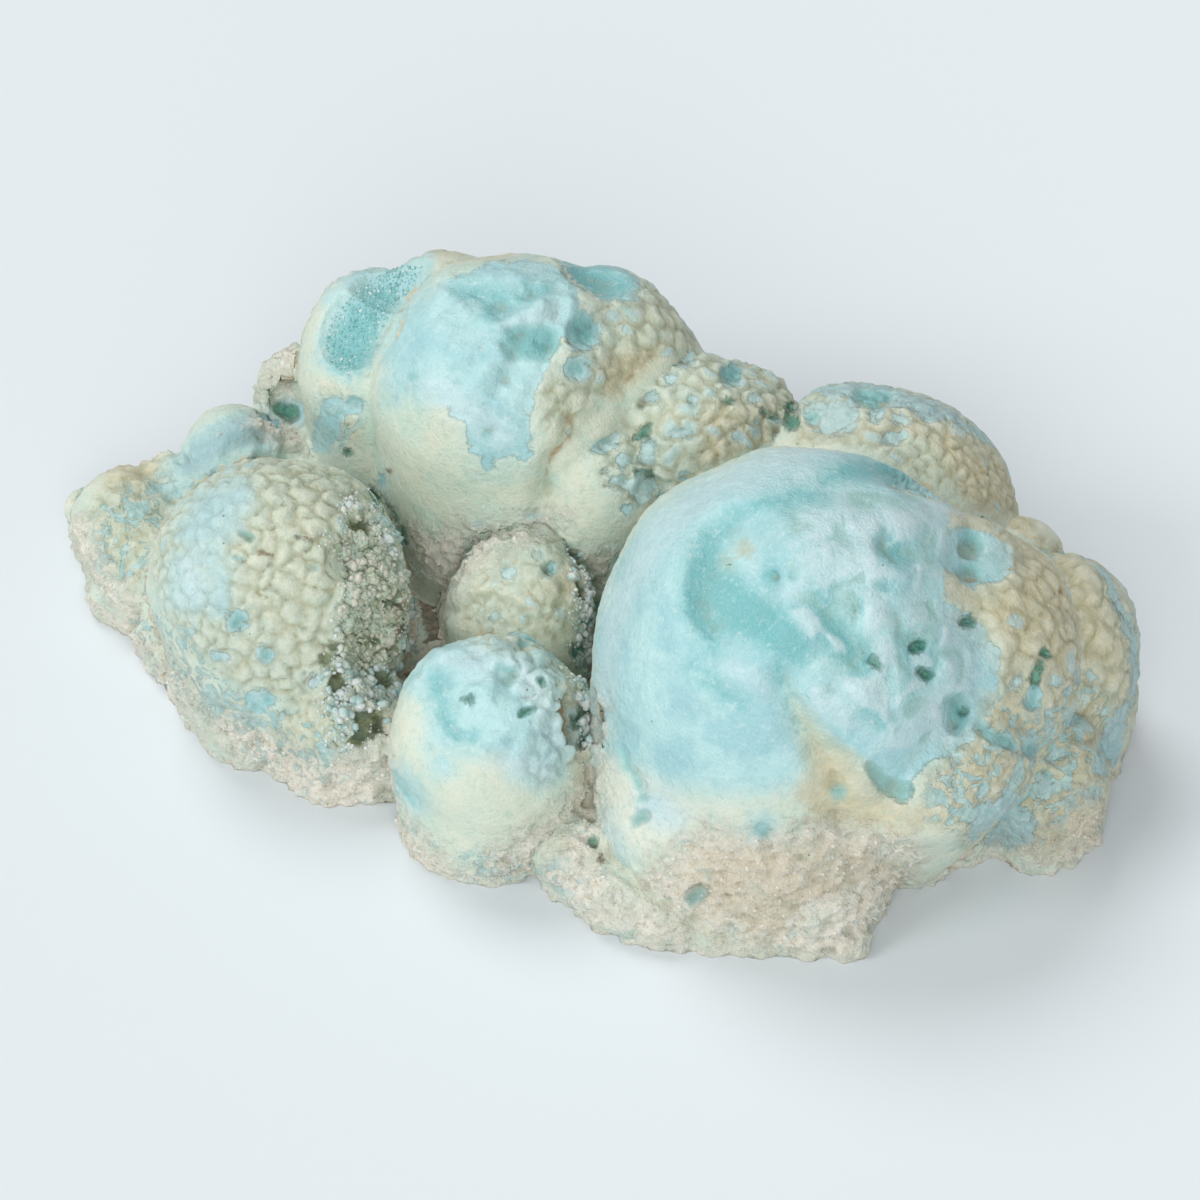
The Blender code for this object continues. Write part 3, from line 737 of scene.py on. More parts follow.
# %% Green holes and plain dents
GREEN_HOLES = {
    "right_side": (
        (1.1, 0.9, (915, 649, 0.7), (921, 646, 0.7)), (1.1, 0.9, (920, 671, 0.5), (926, 675, 0.8)),
        (1, 0.5, (969, 621, 0.7)), (0.8, 0.3, (965, 711, 0.4)), (1, 0.5, (1045, 653, 0.6)),
        (1.1, 0.5, (1040, 664, 0.5), (1036, 680, 0.7)),
    ),
    "great_right": ((0.5, 1.1, (873, 661, 0.6), (879, 666, 0.5)),),
    "behind": ((1.2, 0.8, (792, 410, 1), (792, 422, 1)), (1.2, 0.8, (789, 462, 0.8), (796, 456, 1.2))),
    "ridge": (
        (0.9, 0.3, (637, 438, 0.3), (644, 434, 0.45), (648, 426, 0.35)),
        (0.6, 0.25, (762, 412, 0.2), (770, 417, 0.3), (779, 419, 0.25)),
        (0.5, 0.25, (726, 401, 0.2), (732, 403, 0.3)), (0.5, 0.25, (637, 471, 0.2), (650, 473, 0.25)),
    ),
    "front": (
        (0.7, 0.4, (521, 716, 0.2), (527, 711, 0.4), (533, 709, 0.2)),
        (0.5, 0.4, (464, 699, 0.15), (470, 696, 0.3), (472, 704, 0.15)), (0.9, 0.4, (541, 682, 0.5)),
    ),
    "left_end": ((1.3, 0.8, (280, 409, 0.8), (290, 413, 1.1)),),
    "all": (
        (1.4, 0.5, (594, 842, 0.7)), (1.1, 0.5, (372, 492, 0.6), (380, 502, 0.7)),
        (1.1, 0.5, (387, 509, 0.7), (393, 519, 0.7)), (0.9, 0.5, (402, 529, 0.5), (404, 542, 0.5)),
        (0.8, 0.4, (348, 453, 0.5)),
    ),
    "cleft": (
        (1.6, 0.8, (600, 600, 1), (595, 640, 1)), (1.8, 0.8, (597, 690, 0.9), (592, 722, 1), (583, 742, 0.6)),
        (1.2, 0.6, (577, 652, 1)), (1.2, 0.6, (577, 722, 0.8)),
    ),
}
DENTS = {
    "left": ((0.3, 1, (190, 591, 1.9), (198, 588, 1.6)),),
    "great_back": ((0.35, 0.9, (489, 434, 1.3)),),
    "right_side": ((0.8, 2, (968, 553, 3.4), (990, 562, 3.2)), (0.4, 0.7, (995, 592, 1), (1006, 594, 1))),
    "scooped": ((0.4, 0.7, (355, 406, 1.1)),),
    "back_right": ((0.4, 1, (888, 437, 1.1), (900, 436, 1.1)),),
    "ridge": ((0.4, 0.8, (640, 398, 1.2), (652, 398, 1.2)), (0.4, 0.7, (676, 362, 0.9), (690, 361, 0.9))),
    "great_right": ((0.5, 5, (725, 590, 6.5), (750, 610, 6.5)),),
    "all": ((0.5, 0.4, (604, 911, 0.5)),),
}
WALL_TOP = 0.3


def smooth_step(value):
    """Zero below zero, one above one, and a soft rise between."""
    value = np.clip(value, 0.0, 1.0)
    return value * value * (3.0 - 2.0 * value)


def pit_relief(seen, pits):
    """The sum of all pits of a table, each a smooth step down from its edge."""
    sink = np.zeros(len(seen.spots))
    for part, depth, wall, places in forms(pits):
        sink -= depth * smooth_step(seen.reach(part, places) / wall + WALL_TOP)
    return sink * seen.share


def floors_of(pits):
    """The dabs of a table of pits, as marks for the colours."""
    return {part: tuple(form[2:] for form in group) for part, group in pits.items()}


print(len(forms(GREEN_HOLES)), "holes and", len(forms(DENTS)), "dents")

# %% [markdown]
# ## Hollows pressed by a ball
# The larger scoops are pressed with a ball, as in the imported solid, because they change the outline. This
# also works on the hidden sides, where nothing is read off the photograph. Furrows are valleys along a line
# through the stone's own space, for the same reason.

# %% Larger hollows and furrows
# x, y, z near the skin, radius of the mouth, depth
HOLLOWS = {
    "sugary_scoop": (-31.5, 33, 40.5, 8.2, 3.6),
    "sugary_scoop_top": (-27, 39.5, 42, 6, 2.2),
    "crown_crater": (1.8, 33.4, 48, 5.2, 2),
    "swirl_basin": (19.6, -35.2, 51.6, 10, 2),
    "swirl_basin_top": (18.5, -28, 54.5, 8.5, 1.5),
    "green_holes": (44, -41.4, 43.7, 4.5, 0.6),
    "left_flank_hollow": (-29.1, -11.8, 20.5, 6.5, 2.6),
    "left_flank_scar": (-32.3, -8, 31.9, 5, 1.6),
    "front_collapse": (-8.6, -29.9, 28, 6.5, 1.2),
    "front_side_hole": (0.1, -28.9, 21.4, 4, 2.2),
    "left_back_notch": (-43.8, 38.9, 19.6, 3.5, 1.2),
    "rear_scar": (-8, 50, 30, 8, 2.2),
    "rear_pit": (44, 31, 24, 5, 1.8),
    "rear_left_pit": (-34, 52, 24, 4.5, 1.6),
}
# Half width, depth, then the points that the furrow runs through
FURROWS = {
    "front_valley": (3.2, 1.3, ((26, -45, 45), (29, -49, 38), (32.5, -50.5, 32), (33.5, -50.5, 24))),
    "right_crease": (1.8, 1.2, ((66.5, -9.5, 30.5), (63, -21, 34.5), (61.5, -29, 33), (60, -34, 29))),
    "ridge_crease": (1.6, 0.9, ((10, 18, 44), (0, 12.5, 39), (-5, 9.5, 35), (-6.5, 7.5, 27))),
}
MOUTH_REACH = 1.25


def press(points, outward, hollow):
    """Moves the points inside a ball to its surface, which leaves a round hollow in the skin."""
    place, mouth, depth = np.array(hollow[:3]) - MIDDLE, hollow[3], hollow[4]
    nearest = np.argmin(((points - place) ** 2).sum(axis=1))
    near = np.linalg.norm(points - points[nearest], axis=1) < mouth
    way = outward[near].mean(axis=0)
    way /= np.linalg.norm(way)
    radius = (mouth ** 2 + depth ** 2) / (2.0 * depth)
    centre = points[nearest] + way * (radius - depth)
    away = points - centre
    far = np.linalg.norm(away, axis=1, keepdims=True)
    local = np.linalg.norm(points - points[nearest], axis=1, keepdims=True) < MOUTH_REACH * mouth
    return np.where((far < radius) & local, centre + away / np.maximum(far, 1e-9) * radius, points)


def furrow_relief(points):
    """The sum of all furrows, each with a round section."""
    sink = np.zeros(len(points))
    for width, depth, places in FURROWS.values():
        corners = np.array(places) - MIDDLE
        lines = zip(corners[:-1], corners[1:])
        away = np.minimum.reduce([along_line(points, start, end)[0] for start, end in lines])
        sink -= depth * np.exp(-((away / width) ** 2))
    return sink


print(len(HOLLOWS), "hollows and", len(FURROWS), "furrows")

# %% [markdown]
# ## Crumbs and chalk
# The right flank of the left dome and the right side of the front dome are broken: angular crumbs stand
# between dark gaps. Scattered cells do this too. Each cell gets its own height, and some cells are dropped
# deep, which makes the gaps. The chalk between the domes only needs a fine uneven grain. On hidden sides
# there is nothing to mark, so there the chalk lies low on the stone and on all the matrix.

# %% Where the skin is crumbly and where it is chalk
CRUMBLY = {
    "left_side": (
        ((352, 540, 2.4), (372, 575, 4.2), (372, 625, 5), (358, 690, 4.6), (350, 728, 3.2)),
        ((345, 700, 3.2), (372, 725, 2.4)),
    ),
    "left": (((352, 505, 0.9), (378, 535, 2)),),
    "between": (((385, 560, 2.2), (396, 590, 2.4), (392, 640, 2.6)),),
    "front_folds": (((576, 560, 1), (586, 595, 1.4), (588, 640, 1.6)),),
    "front": (((575, 640, 1), (588, 690, 1.6), (592, 735, 1.5)),),
    "cleft": (((592, 610, 1.6), (594, 680, 1.6), (588, 735, 1.6)),),
}
CHALK = {
    "all": (
        ((408, 528), (440, 533), (500, 524), (545, 512), (560, 520), (545, 536), (500, 545), (455, 585), (446, 592),
         (425, 575), (410, 548)),
        ((90, 600), (150, 640), (180, 672), (205, 700), (250, 722), (290, 752), (325, 764), (352, 745), (385, 715),
         (390, 800), (420, 860), (400, 880), (280, 800), (180, 700), (120, 640)),
        
        ((352, 745), (372, 722), (384, 738), (384, 780), (398, 815), (440, 860), (470, 880), (400, 880), (340, 830)),
        ((600, 700), (600, 860), (560, 872), (520, 880), (560, 850), (585, 800), (590, 760)),
        ((540, 868), (600, 858), (640, 900), (700, 940), (740, 950), (620, 940), (560, 905)),
        ((648, 868), (676, 846), (705, 826), (735, 836), (780, 834), (812, 824), (850, 828), (880, 832), (915, 842),
         (920, 860), (880, 930), (850, 960), (740, 955), (680, 915), (640, 885)),
    ),
    "ridge_foot": (((585, 556), (634, 556), (620, 610), (604, 640), (592, 600), (600, 575)),),
    "front": (((490, 850), (520, 838), (560, 812), (590, 770), (600, 800), (600, 880), (480, 890)),),
    "right_side": (((1028, 848), (1050, 838), (1068, 812), (1082, 800), (1104, 806), (1110, 870), (1030, 868)),),
    "left_end": (
        ((250, 402), (260, 360), (284, 334), (302, 344), (302, 378), (290, 398), (270, 405)),
        ((262, 424, 1), (285, 432, 1.6), (297, 444, 1.4)), ((80, 530, 1), (100, 575, 1.5), (130, 610, 1.5)),
    ),
}
CHALK_TOP = 6.5
CHALK_UNEVEN = 2.5
CHALK_LENGTH = 14.0
CHALK_FADE = 0.6
ON_MATRIX = 3.0
CUT_CHALK, CUT_FADE = 1.5, 0.5
CRUMB_DROPPED, CRUMB_DROP = 0.2, -1.2
CRUMB_TALLER, CRUMB_LOWER = 0.8, 1.1
GAP_FROM, GAP_WIDTH = 0.85, 0.15


def blend(seen, marked, ruled):
    """Marks where the photograph shows the skin, and the rule elsewhere."""
    return seen.share * marked + (1.0 - seen.share) * np.clip(ruled, FAR_OUT, -FAR_OUT)


def chalk_reach(points, seen):
    """How far inside the chalk each point lies: as marked where it is seen, and by its height elsewhere."""
    low = (CHALK_TOP + CHALK_UNEVEN * waves(points, CHALK_LENGTH, 11) - points[:, 2]) * CHALK_FADE
    low = np.where(seen.shape >= len(DOMES), low + ON_MATRIX, low)
    marked = np.maximum(seen.layer(CHALK), (CUT_CHALK - points[:, 2]) * CUT_FADE)
    return blend(seen, marked, low)


def crumb_relief(points, share, size, height):
    """Rise of crumbs, and how deep in a gap between crumbs each point is."""
    rise, gap = np.zeros((2, len(points)))
    inside = share > 0.0
    edge, number = cells(points[inside], size)
    dropped = number < CRUMB_DROPPED
    bulge = pebble_cap(edge) + CRUMB_TALLER * number - CRUMB_LOWER
    rise[inside] = share[inside] * height * np.where(dropped, CRUMB_DROP, bulge)
    between = np.clip((edge - GAP_FROM) / GAP_WIDTH, 0.0, 1.0)
    gap[inside] = share[inside] * np.where(dropped, 1.0, between)
    return rise, gap


print("points in the chalk:", int((chalk_reach(points, seen) > 0.0).sum()))

# %% [markdown]
# ## Where each colour lies
# The colours of a worn stone are layers: blue aragonite, a rind over it, chalk where nothing grew, and stains
# and painted shade in the low places. Each layer is one number stored on every point, in millimetres inside the layer's
# edge.
# Where the photograph shows the stone the numbers come from marks. On the hidden sides a noise takes over,
# with the same share of worn patches. First comes the blue that shows through the rind.

# %% Mark the blue that shows through the rind
BLUE = {
    "great_back": (
        ((388, 336), (423, 297), (449, 279), (494, 262), (551, 262), (575, 283), (580, 312), (551, 361), (535, 393),
         (529, 426), (531, 454), (527, 463), (515, 457), (494, 459), (492, 473), (482, 465), (484, 454), (468, 450),
         (466, 424), (449, 414), (451, 408), (427, 401), (407, 387), (394, 399), (390, 373)),
        ((553, 256), (600, 250), (640, 280), (640, 300), (605, 303), (575, 285)), (583, 332, 2.9), (578, 369, 2),
        ((382, 475, 0.4), (382, 483, 0.6)), (478, 524, 0.7), ((531, 519, 0.8), (542, 518, 0.9)),
    ),
    "scooped": (
        ((321, 344), (327, 316), (337, 299), (366, 277), (394, 262), (430, 262), (421, 287), (394, 316), (378, 344),
         (372, 363), (347, 381), (325, 365)),
        (333, 410, 2), ((328, 428, 2), (323, 442, 1.6)), (355, 406, 1.3),
    ),
    "all": (
        ((330, 300, 0.8), (360, 275, 1), (395, 256, 1.2), (420, 255, 1.2)),
        ((960, 424, 0.6), (985, 437, 0.9), (1000, 446, 0.4)), ((570, 890, 1.4), (582, 889, 1.4)),
        ((617, 899, 0.7), (626, 899, 0.7)),
    ),
    "ridge": (
        ((600, 404, 1), (614, 403, 1.1)), (603, 438, 2.6), ((638, 398, 1), (653, 398, 1)),
        ((675, 362, 0.7), (691, 360, 0.7)), (731, 375, 1.6), (671, 379, 1), ((674, 435, 0.8), (687, 433, 0.9)),
        ((648, 446, 1.1), (647, 460, 1.1)), (624, 461, 1.2),
        ((614, 482, 0.9), (632, 486, 1.3), (652, 484, 1.2), (640, 496, 1)), (626, 509, 0.8), (693, 402, 0.9),
        (738, 436, 0.9), (758, 424, 1), (781, 436, 1.2), (754, 399, 0.7), (736, 471, 0.8),
        ((685, 480, 1.1), (690, 486, 0.9)), (607, 471, 0.7),
    ),
    "back_right": (
        ((804, 401), (854, 398), (861, 420), (849, 434), (823, 436), (802, 417)),
        ((801, 391), (849, 381), (897, 386), (935, 400), (952, 410), (978, 424), (958, 424), (942, 419), (928, 425),
         (909, 410), (890, 407), (870, 408), (854, 401)),
        ((887, 437, 1.1), (901, 436, 1.1)), (876, 415, 1.2), (900, 419, 1.2),
    ),
    "great_right": (
        ((590, 760), (588, 640), (612, 570), (650, 520), (700, 480), (800, 445), (900, 430), (980, 450), (1010, 490),
         (955, 488), (950, 520), (948, 560), (942, 575), (945, 600), (965, 610), (985, 625), (1000, 650),
         (1000, 690), (985, 715), (975, 740), (955, 755), (935, 760), (915, 775), (905, 800), (880, 795), (868, 765),
         (850, 750), (830, 740), (812, 715), (800, 700), (790, 690), (790, 715), (800, 745), (805, 770), (790, 782),
         (745, 792), (700, 788), (660, 778), (632, 762), (608, 745)),
        ((600, 820, 0.6), (606, 845, 1.2), (622, 868, 0.9)), ((655, 805, 1.3), (672, 818, 0.8)), (762, 830, 1.3),
        ((871, 767, 0.9), (884, 784, 1.4), (902, 791, 1.6)), ((693, 898, 1.5), (701, 893, 1.3)),
    ),
    "right_side": (
        ((966, 553, 3.6), (990, 560, 3.4), (972, 571, 2.2)), ((979, 726, 1), (994, 738, 1.1), (1009, 743, 1.1)),
        (1030, 749, 1.4), ((1052, 757, 1), (1062, 756, 1)), (956, 762, 0.8), (954, 782, 0.6),
        ((937, 802, 0.5), (946, 802, 0.6)), (950, 822, 0.6), ((1081, 677, 1.1), (1091, 677, 1.1)), (1055, 682, 0.9),
        (1068, 692, 0.7), (1049, 713, 0.6), (1070, 719, 1.1), ((1015, 685, 0.6), (1022, 672, 0.6)),
        ((1032, 702, 1.3), (1034, 692, 1.1)),
        ((965, 835), (972, 812), (975, 800), (978, 787), (986, 783), (992, 790), (984, 800), (1000, 797),
         (1004, 786), (1012, 786), (1020, 800), (1018, 808), (1030, 812), (1040, 825), (1035, 845), (1010, 850),
         (980, 846)),
        ((1044, 782, 1.5), (1045, 792, 1.4)),
        ((1092, 772), (1098, 750), (1105, 722), (1115, 712), (1128, 697), (1131, 705), (1124, 740), (1114, 776),
         (1100, 776)),
        ((1087, 793, 0.9), (1098, 793, 0.9)),
        ((1085, 556, 0.4), (1100, 566, 0.6), (1117, 602, 0.7), (1132, 640, 0.7), (1136, 680, 0.7), (1130, 705, 0.6)),
    ),
    "left": (
        ((237, 497, 2.2), (216, 514, 3.6), (198, 530, 2.6)), ((190, 591, 3), (184, 568, 1.8), (197, 560, 1.6)),
        ((205, 551, 1.6), (220, 580, 1.5), (219, 606, 1.5)), (237, 621, 1.8), (267, 655, 1.4), (191, 631, 0.8),
        ((215, 656, 0.7), (225, 655, 0.8)), ((258, 702, 1.8), (268, 699, 1.2)), (315, 682, 1.1), (345, 682, 1.1),
        (372, 687, 1.1), ((366, 731, 1.1), (343, 723, 1)), ((276, 729, 0.7), (235, 717, 0.7)),
    ),
    "left_end": (
        ((184, 455), (199, 438), (222, 421), (249, 415), (270, 421), (280, 436), (266, 446), (241, 446), (215, 455),
         (209, 471), (188, 477), (174, 469)),
        ((169, 492, 0.5), (184, 492, 0.9), (203, 477, 1), (222, 471, 0.6)), (182, 526, 1.2),
        ((287, 410, 1.9), (296, 418, 1.6)),
    ),
    "front": (
        ((422, 642), (454, 630), (483, 645), (515, 648), (544, 660), (556, 704), (575, 734), (560, 775), (540, 783),
         (517, 775), (503, 755), (471, 750), (450, 750), (430, 742), (428, 704), (407, 683)),
        ((394, 773, 0.5), (403, 788, 0.8), (415, 805, 0.4)), (442, 763, 0.9),
    ),
    "front_folds": (
        (538, 555, 0.8), (509, 571, 1.1), (495, 616, 0.9), ((571, 547, 1.1), (581, 559, 1.3)), (550, 569, 1.1),
    ),
}
# Where the rind fades into the blue instead of breaking off
SOFT = {
    "great_right": (
        ((560, 700), (640, 500), (760, 430), (930, 440), (900, 600), (800, 690), (860, 760), (900, 850), (700, 860),
         (580, 860)),
    ),
    "scooped": (((300, 385), (325, 290), (430, 245), (445, 275), (385, 385)),),
    "great_back": (((360, 320), (440, 260), (450, 330), (430, 420), (390, 440), (360, 420)),),
    "front": (((380, 620), (600, 620), (600, 860), (390, 860)),),
    "left": (((150, 470), (265, 470), (240, 560), (210, 620), (150, 620)),),
    "left_end": (((150, 440), (280, 400), (300, 460), (200, 560), (150, 560)),),
}


def count(table):
    """The number of marks in a table."""
    return sum(len(marks) for marks in table.values())


print(count(BLUE), "blue patches,", count(SOFT), "soft fields")

# %% [markdown]
# ## Shades of the blue
# The blue isn't even. It is deeper in the scoops and between the folds, milky on their crests, steel grey
# where it is thin, and warm where a stain has crept into it. Each shade is a table of its own, and the pits
# and holes above lend their places to the teal floors and the green holes.

# %% Mark the deeper blues and the whites inside it
TEAL_SOFT = {
    "scooped": (((352, 352, 3.8), (366, 322, 2.8), (385, 298, 1.8)),),
    "great_back": (
        ((575, 272, 1.8), (600, 282, 2.6), (622, 286, 1.6)),
        ((466, 292, 1.6), (500, 298, 1.8), (486, 314, 1.6), (545, 288, 1.2)),
    ),
    "great_right": (
        ((738, 514, 1), (714, 538, 1.8), (700, 575, 2.6), (700, 608, 2.6), (712, 645, 1.6)),
        ((704, 570, 2.6), (735, 606, 4), (775, 630, 3.6), (800, 650, 2.2)),
        ((735, 512, 0.9), (774, 501, 1.4), (804, 497, 1.4), (830, 500, 0.8)),
        ((825, 478, 1), (855, 470, 1.7), (900, 470, 1.6), (940, 478, 1.2)),
        ((905, 463, 1), (932, 470, 1.6), (958, 478, 1.6), (972, 480, 1)),
        ((889, 541, 1.1), (894, 556, 1.6), (908, 558, 0.8)), ((858, 612, 0.8), (872, 597, 0.9), (884, 588, 0.8)),
        ((818, 596, 1.6), (834, 632, 2.6), (854, 655, 2.6), (878, 668, 1.6)),
        ((905, 642, 1.4), (922, 662, 2), (908, 690, 1.4)), ((694, 667, 1), (715, 685, 1.1), (740, 703, 0.8)),
        ((778, 666, 1.4), (783, 682, 0.9)), ((862, 704, 1.4), (884, 722, 1.6)),
        ((790, 696, 0.8), (796, 716, 0.8), (815, 744, 0.7), (830, 766, 0.7)), (770, 578, 2),
    ),
    "front": (((436, 679, 1), (444, 712, 1.2), (452, 736, 1.1), (472, 738, 1)),),
}
TEAL_DOTS = {
    "great_back": ((488, 434, 0.7), (413, 376, 0.6), (482, 358, 0.4)),
    "left": ((268, 700, 0.8),),
    "left_end": ((182, 526, 0.8),),
}
TEAL_FLOORS = floors_of(TEAL_PITS)
STEEL = {
    "great_back": (((565, 262, 1), (590, 268, 2), (625, 275, 1.6)),),
    "back_right": (
        ((801, 391), (849, 381), (897, 386), (935, 400), (952, 410), (978, 424), (958, 424), (942, 419), (928, 425),
         (909, 410), (890, 407), (870, 408), (854, 401)),
        ((875, 400, 2.2), (888, 396, 1.2)),
    ),
    "left_end": (
        ((184, 455), (199, 438), (222, 421), (249, 415), (270, 421), (280, 436), (266, 446), (241, 446), (215, 455),
         (209, 471), (188, 477), (174, 469)),
    ),
    "right_side": (
        ((965, 835), (975, 795), (1020, 786), (1045, 825), (1035, 850), (980, 848)), (1044, 787, 2.2),
        ((1105, 775, 1.6), (1110, 735, 1.6), (1128, 700, 1), (1136, 660, 0.9), (1117, 602, 0.9), (1100, 566, 0.7)),
        ((1081, 677, 1.4), (1062, 690, 1.2), (1070, 719, 1.2), (1057, 757, 1.8)), ((957, 705, 1.8), (957, 722, 1.9)),
    ),
    "ridge": (
        (731, 375, 1.6), ((603, 404, 1.2), (650, 398, 1.4)), ((781, 436, 1.2), (758, 424, 1), (738, 436, 0.9)),
    ),
    "great_right": (((889, 548, 2.2), (910, 560, 1.2)),),
}
MILK = {
    "great_right": (
        ((600, 700, 1.2), (620, 600, 1.8), (660, 530, 1.8), (720, 484, 1.8), (784, 459, 1.6), (850, 444, 1.4),
         (900, 438, 1.2)),
        ((735, 494, 1.1), (784, 488, 0.9), (825, 465, 0.8), (855, 452, 0.8)),
        ((815, 520, 2.4), (835, 515, 3.2), (862, 518, 2.4)), ((812, 562, 2.2), (843, 553, 3), (866, 566, 2)),
        ((905, 514, 1.8), (930, 515, 2.2), (940, 540, 1.6)), ((760, 570, 1.6), (773, 590, 1.6), (800, 590, 1.4)),
        ((727, 669, 0.9), (749, 674, 0.9), (766, 688, 0.8)),
        ((820, 700, 1.8), (842, 714, 1.8), (868, 708, 2.4), (884, 728, 2.2), (910, 730, 2)),
        ((940, 612), (950, 612), (966, 640), (980, 662), (968, 700), (950, 735), (915, 745), (915, 710), (945, 690),
         (948, 650)),
        ((598, 750), (640, 768), (690, 800), (730, 812), (680, 838), (650, 855), (600, 850)),
    ),
    "great_back": (
        ((470, 300, 1.4), (512, 316, 2), (545, 310, 1.8)), ((430, 384, 1.6), (468, 410, 1.8), (506, 440, 1.6)),
    ),
    "left": (((196, 590, 1.4), (190, 566, 1)), ((315, 682, 1), (345, 682, 1), (372, 687, 1))),
    "front": (((440, 660, 1), (480, 660, 1.4), (530, 680, 1.4), (556, 740, 1.2)), ((500, 760, 1), (540, 772, 1.4))),
}
WARM = {
    "great_right": (
        (723, 566, 1.6), (743, 548, 1.2),
        ((790, 700), (815, 728), (845, 748), (880, 772), (905, 800), (940, 800), (950, 830), (900, 830), (850, 828),
         (810, 815), (796, 795), (806, 765)),
        ((821, 824, 1), (836, 820, 1.2)), ((830, 622, 1), (846, 650, 1.2)),
    ),
    "right_side": (((924, 792, 1.8), (936, 798, 1.4)), ((996, 706, 2.2), (1008, 712, 2.4))),
}
print(count(TEAL_SOFT), "teal,", count(STEEL), "steel,", count(MILK), "white,", count(WARM), "warm")

# %% [markdown]
# ## Rind, creases, dirt and painted shade
# The rind has aged to tan on the sides that lay open. Brown has gathered in creases, soil and painted shade in the
# deepest gaps, and the crumbs hide holes of a dark olive, darkened as painted shade.

# %% Mark the rind, the creases, the dirt and the painted shade
TAN = {
    "great_back": (
        ((600, 392), (600, 360), (640, 345), (660, 352), (650, 372), (615, 398)),
        ((405, 262, 0.8), (430, 250, 1), (470, 249, 1), (505, 254, 0.9)),
    ),
    "ridge": (((700, 410), (770, 400), (800, 440), (785, 480), (730, 492), (700, 470)),),
    "back_right": (
        ((905, 412), (945, 420), (1000, 440), (1040, 480), (1040, 510), (980, 520), (930, 440), (860, 440),
         (800, 440), (800, 425), (860, 425)),
    ),
    "right_side": (
        ((952, 489), (990, 485), (1020, 500), (1045, 540), (1070, 545), (1100, 560), (1132, 600), (1142, 680),
         (1130, 740), (1115, 800), (1105, 830), (1060, 860), (960, 836), (930, 830), (925, 775), (960, 755),
         (985, 720), (1000, 690), (1000, 650), (985, 625), (965, 610), (945, 600), (940, 570), (950, 520)),
    ),
    "left": (((235, 700, 1), (262, 722, 1.2), (300, 735, 1)),),
    "front_folds": (((560, 585, 1.6), (575, 572, 1.4)),),
    "front": (((560, 698, 1), (571, 712, 1), (579, 783, 1)),),
    "great_right": (
        ((800, 705), (825, 735), (850, 755), (880, 780), (905, 805), (940, 800), (950, 830), (900, 832), (850, 828),
         (810, 818), (800, 795), (812, 765)),
        ((690, 856), (760, 846), (850, 848), (900, 868), (870, 925), (760, 940), (690, 900)),
        ((796, 690, 0.6), (818, 722, 1), (846, 756, 1.2)),
    ),
    "scooped": (((330, 390, 1), (350, 430, 1.4)),),
    "left_end": (((120, 475, 1.6), (150, 470, 1.6)),),
}
CREASE = {
    "all": (
        ((421, 289, 0.3), (398, 314, 0.35), (378, 344, 0.4), (370, 369, 0.5), (358, 385, 0.4)),
        ((556, 373, 0.2), (568, 393, 0.5), (570, 415, 0.6), (569, 440, 0.5), (555, 452, 0.6), (549, 461, 0.4),
         (547, 474, 0.3)),
        ((622, 385, 0.2), (638, 370, 0.5), (650, 357, 0.5), (666, 346, 0.3)), (604, 911, 0.5),
    ),
    "ridge": (
        ((710, 416, 0.2), (720, 420, 0.4)), ((771, 449, 0.3), (783, 452, 0.3)), ((655, 531, 0.4), (672, 526, 0.4)),
        (642, 545, 0.4),
    ),
    "back_right": (((930, 441, 0.2), (945, 451, 0.3)),),
    "right_side": (
        ((958, 577, 0.3), (971, 583, 0.5), (984, 580, 0.3)),
        ((1067, 564, 0.3), (1062, 596, 0.6), (1054, 619, 0.5), (1050, 632, 0.4)),
    ),
    "great_back": (((516, 328, 0.2), (530, 322, 0.35), (546, 326, 0.2)),),
    "left": (
        ((202, 711, 0.4), (216, 720, 0.6), (228, 731, 0.4)), ((184, 680, 0.5), (190, 682, 0.5)), (342, 568, 0.5),
        (337, 587, 0.5), (254, 603, 0.5),
    ),
    "left_end": (((293, 437, 0.8), (299, 445, 0.6)),),
}
# Soil specks, and soil in the gaps between domes that also paints their shade
SOIL_AND_SHADE = {
    "between": (
        ((420, 590, 0.8), (432, 610, 1.6), (437, 636, 1.4), (430, 660, 1)), ((400, 600, 0.9), (402, 630, 1)),
        ((428, 574, 0.5), (442, 588, 0.6)), (601, 858, 0.6),
    ),
    "left": (((296, 537, 0.2), (312, 539, 0.25)), ((260, 551, 0.2), (272, 555, 0.25))),
    "left_end": ((220, 434, 0.45),),
    "great_back": ((390, 470, 0.3),),
    "scooped": ((351, 422, 0.35),),
    "ridge": ((604, 487, 0.3), (571, 446, 0.3)),
    "back_right": ((956, 449, 0.35),),
}
OLIVE_HOLES = floors_of(GREEN_HOLES)
CRUMB_HOLES = {
    "left_side": (
        (362, 640, 1.3), (364, 669, 1.3), ((344, 647, 0.7), (331, 646, 0.7)), (325, 660, 0.9), (374, 642, 1),
        (335, 672, 0.9), (376, 717, 1),
    ),
}
print(count(TAN), "tan patches,", count(CREASE), "stained creases,", count(SOIL_AND_SHADE), "soil marks,",
      count(OLIVE_HOLES) + count(CRUMB_HOLES), "holes")

# %% [markdown]
# ## Lace, sugar and cream
# In some fields the crust is broken into ragged islands with the blue between them. That is a pattern, not a
# list of patches, so only the field is marked and a noise tears it later. Two more fields say where crystals
# glitter and where crumbs are cream instead of white.

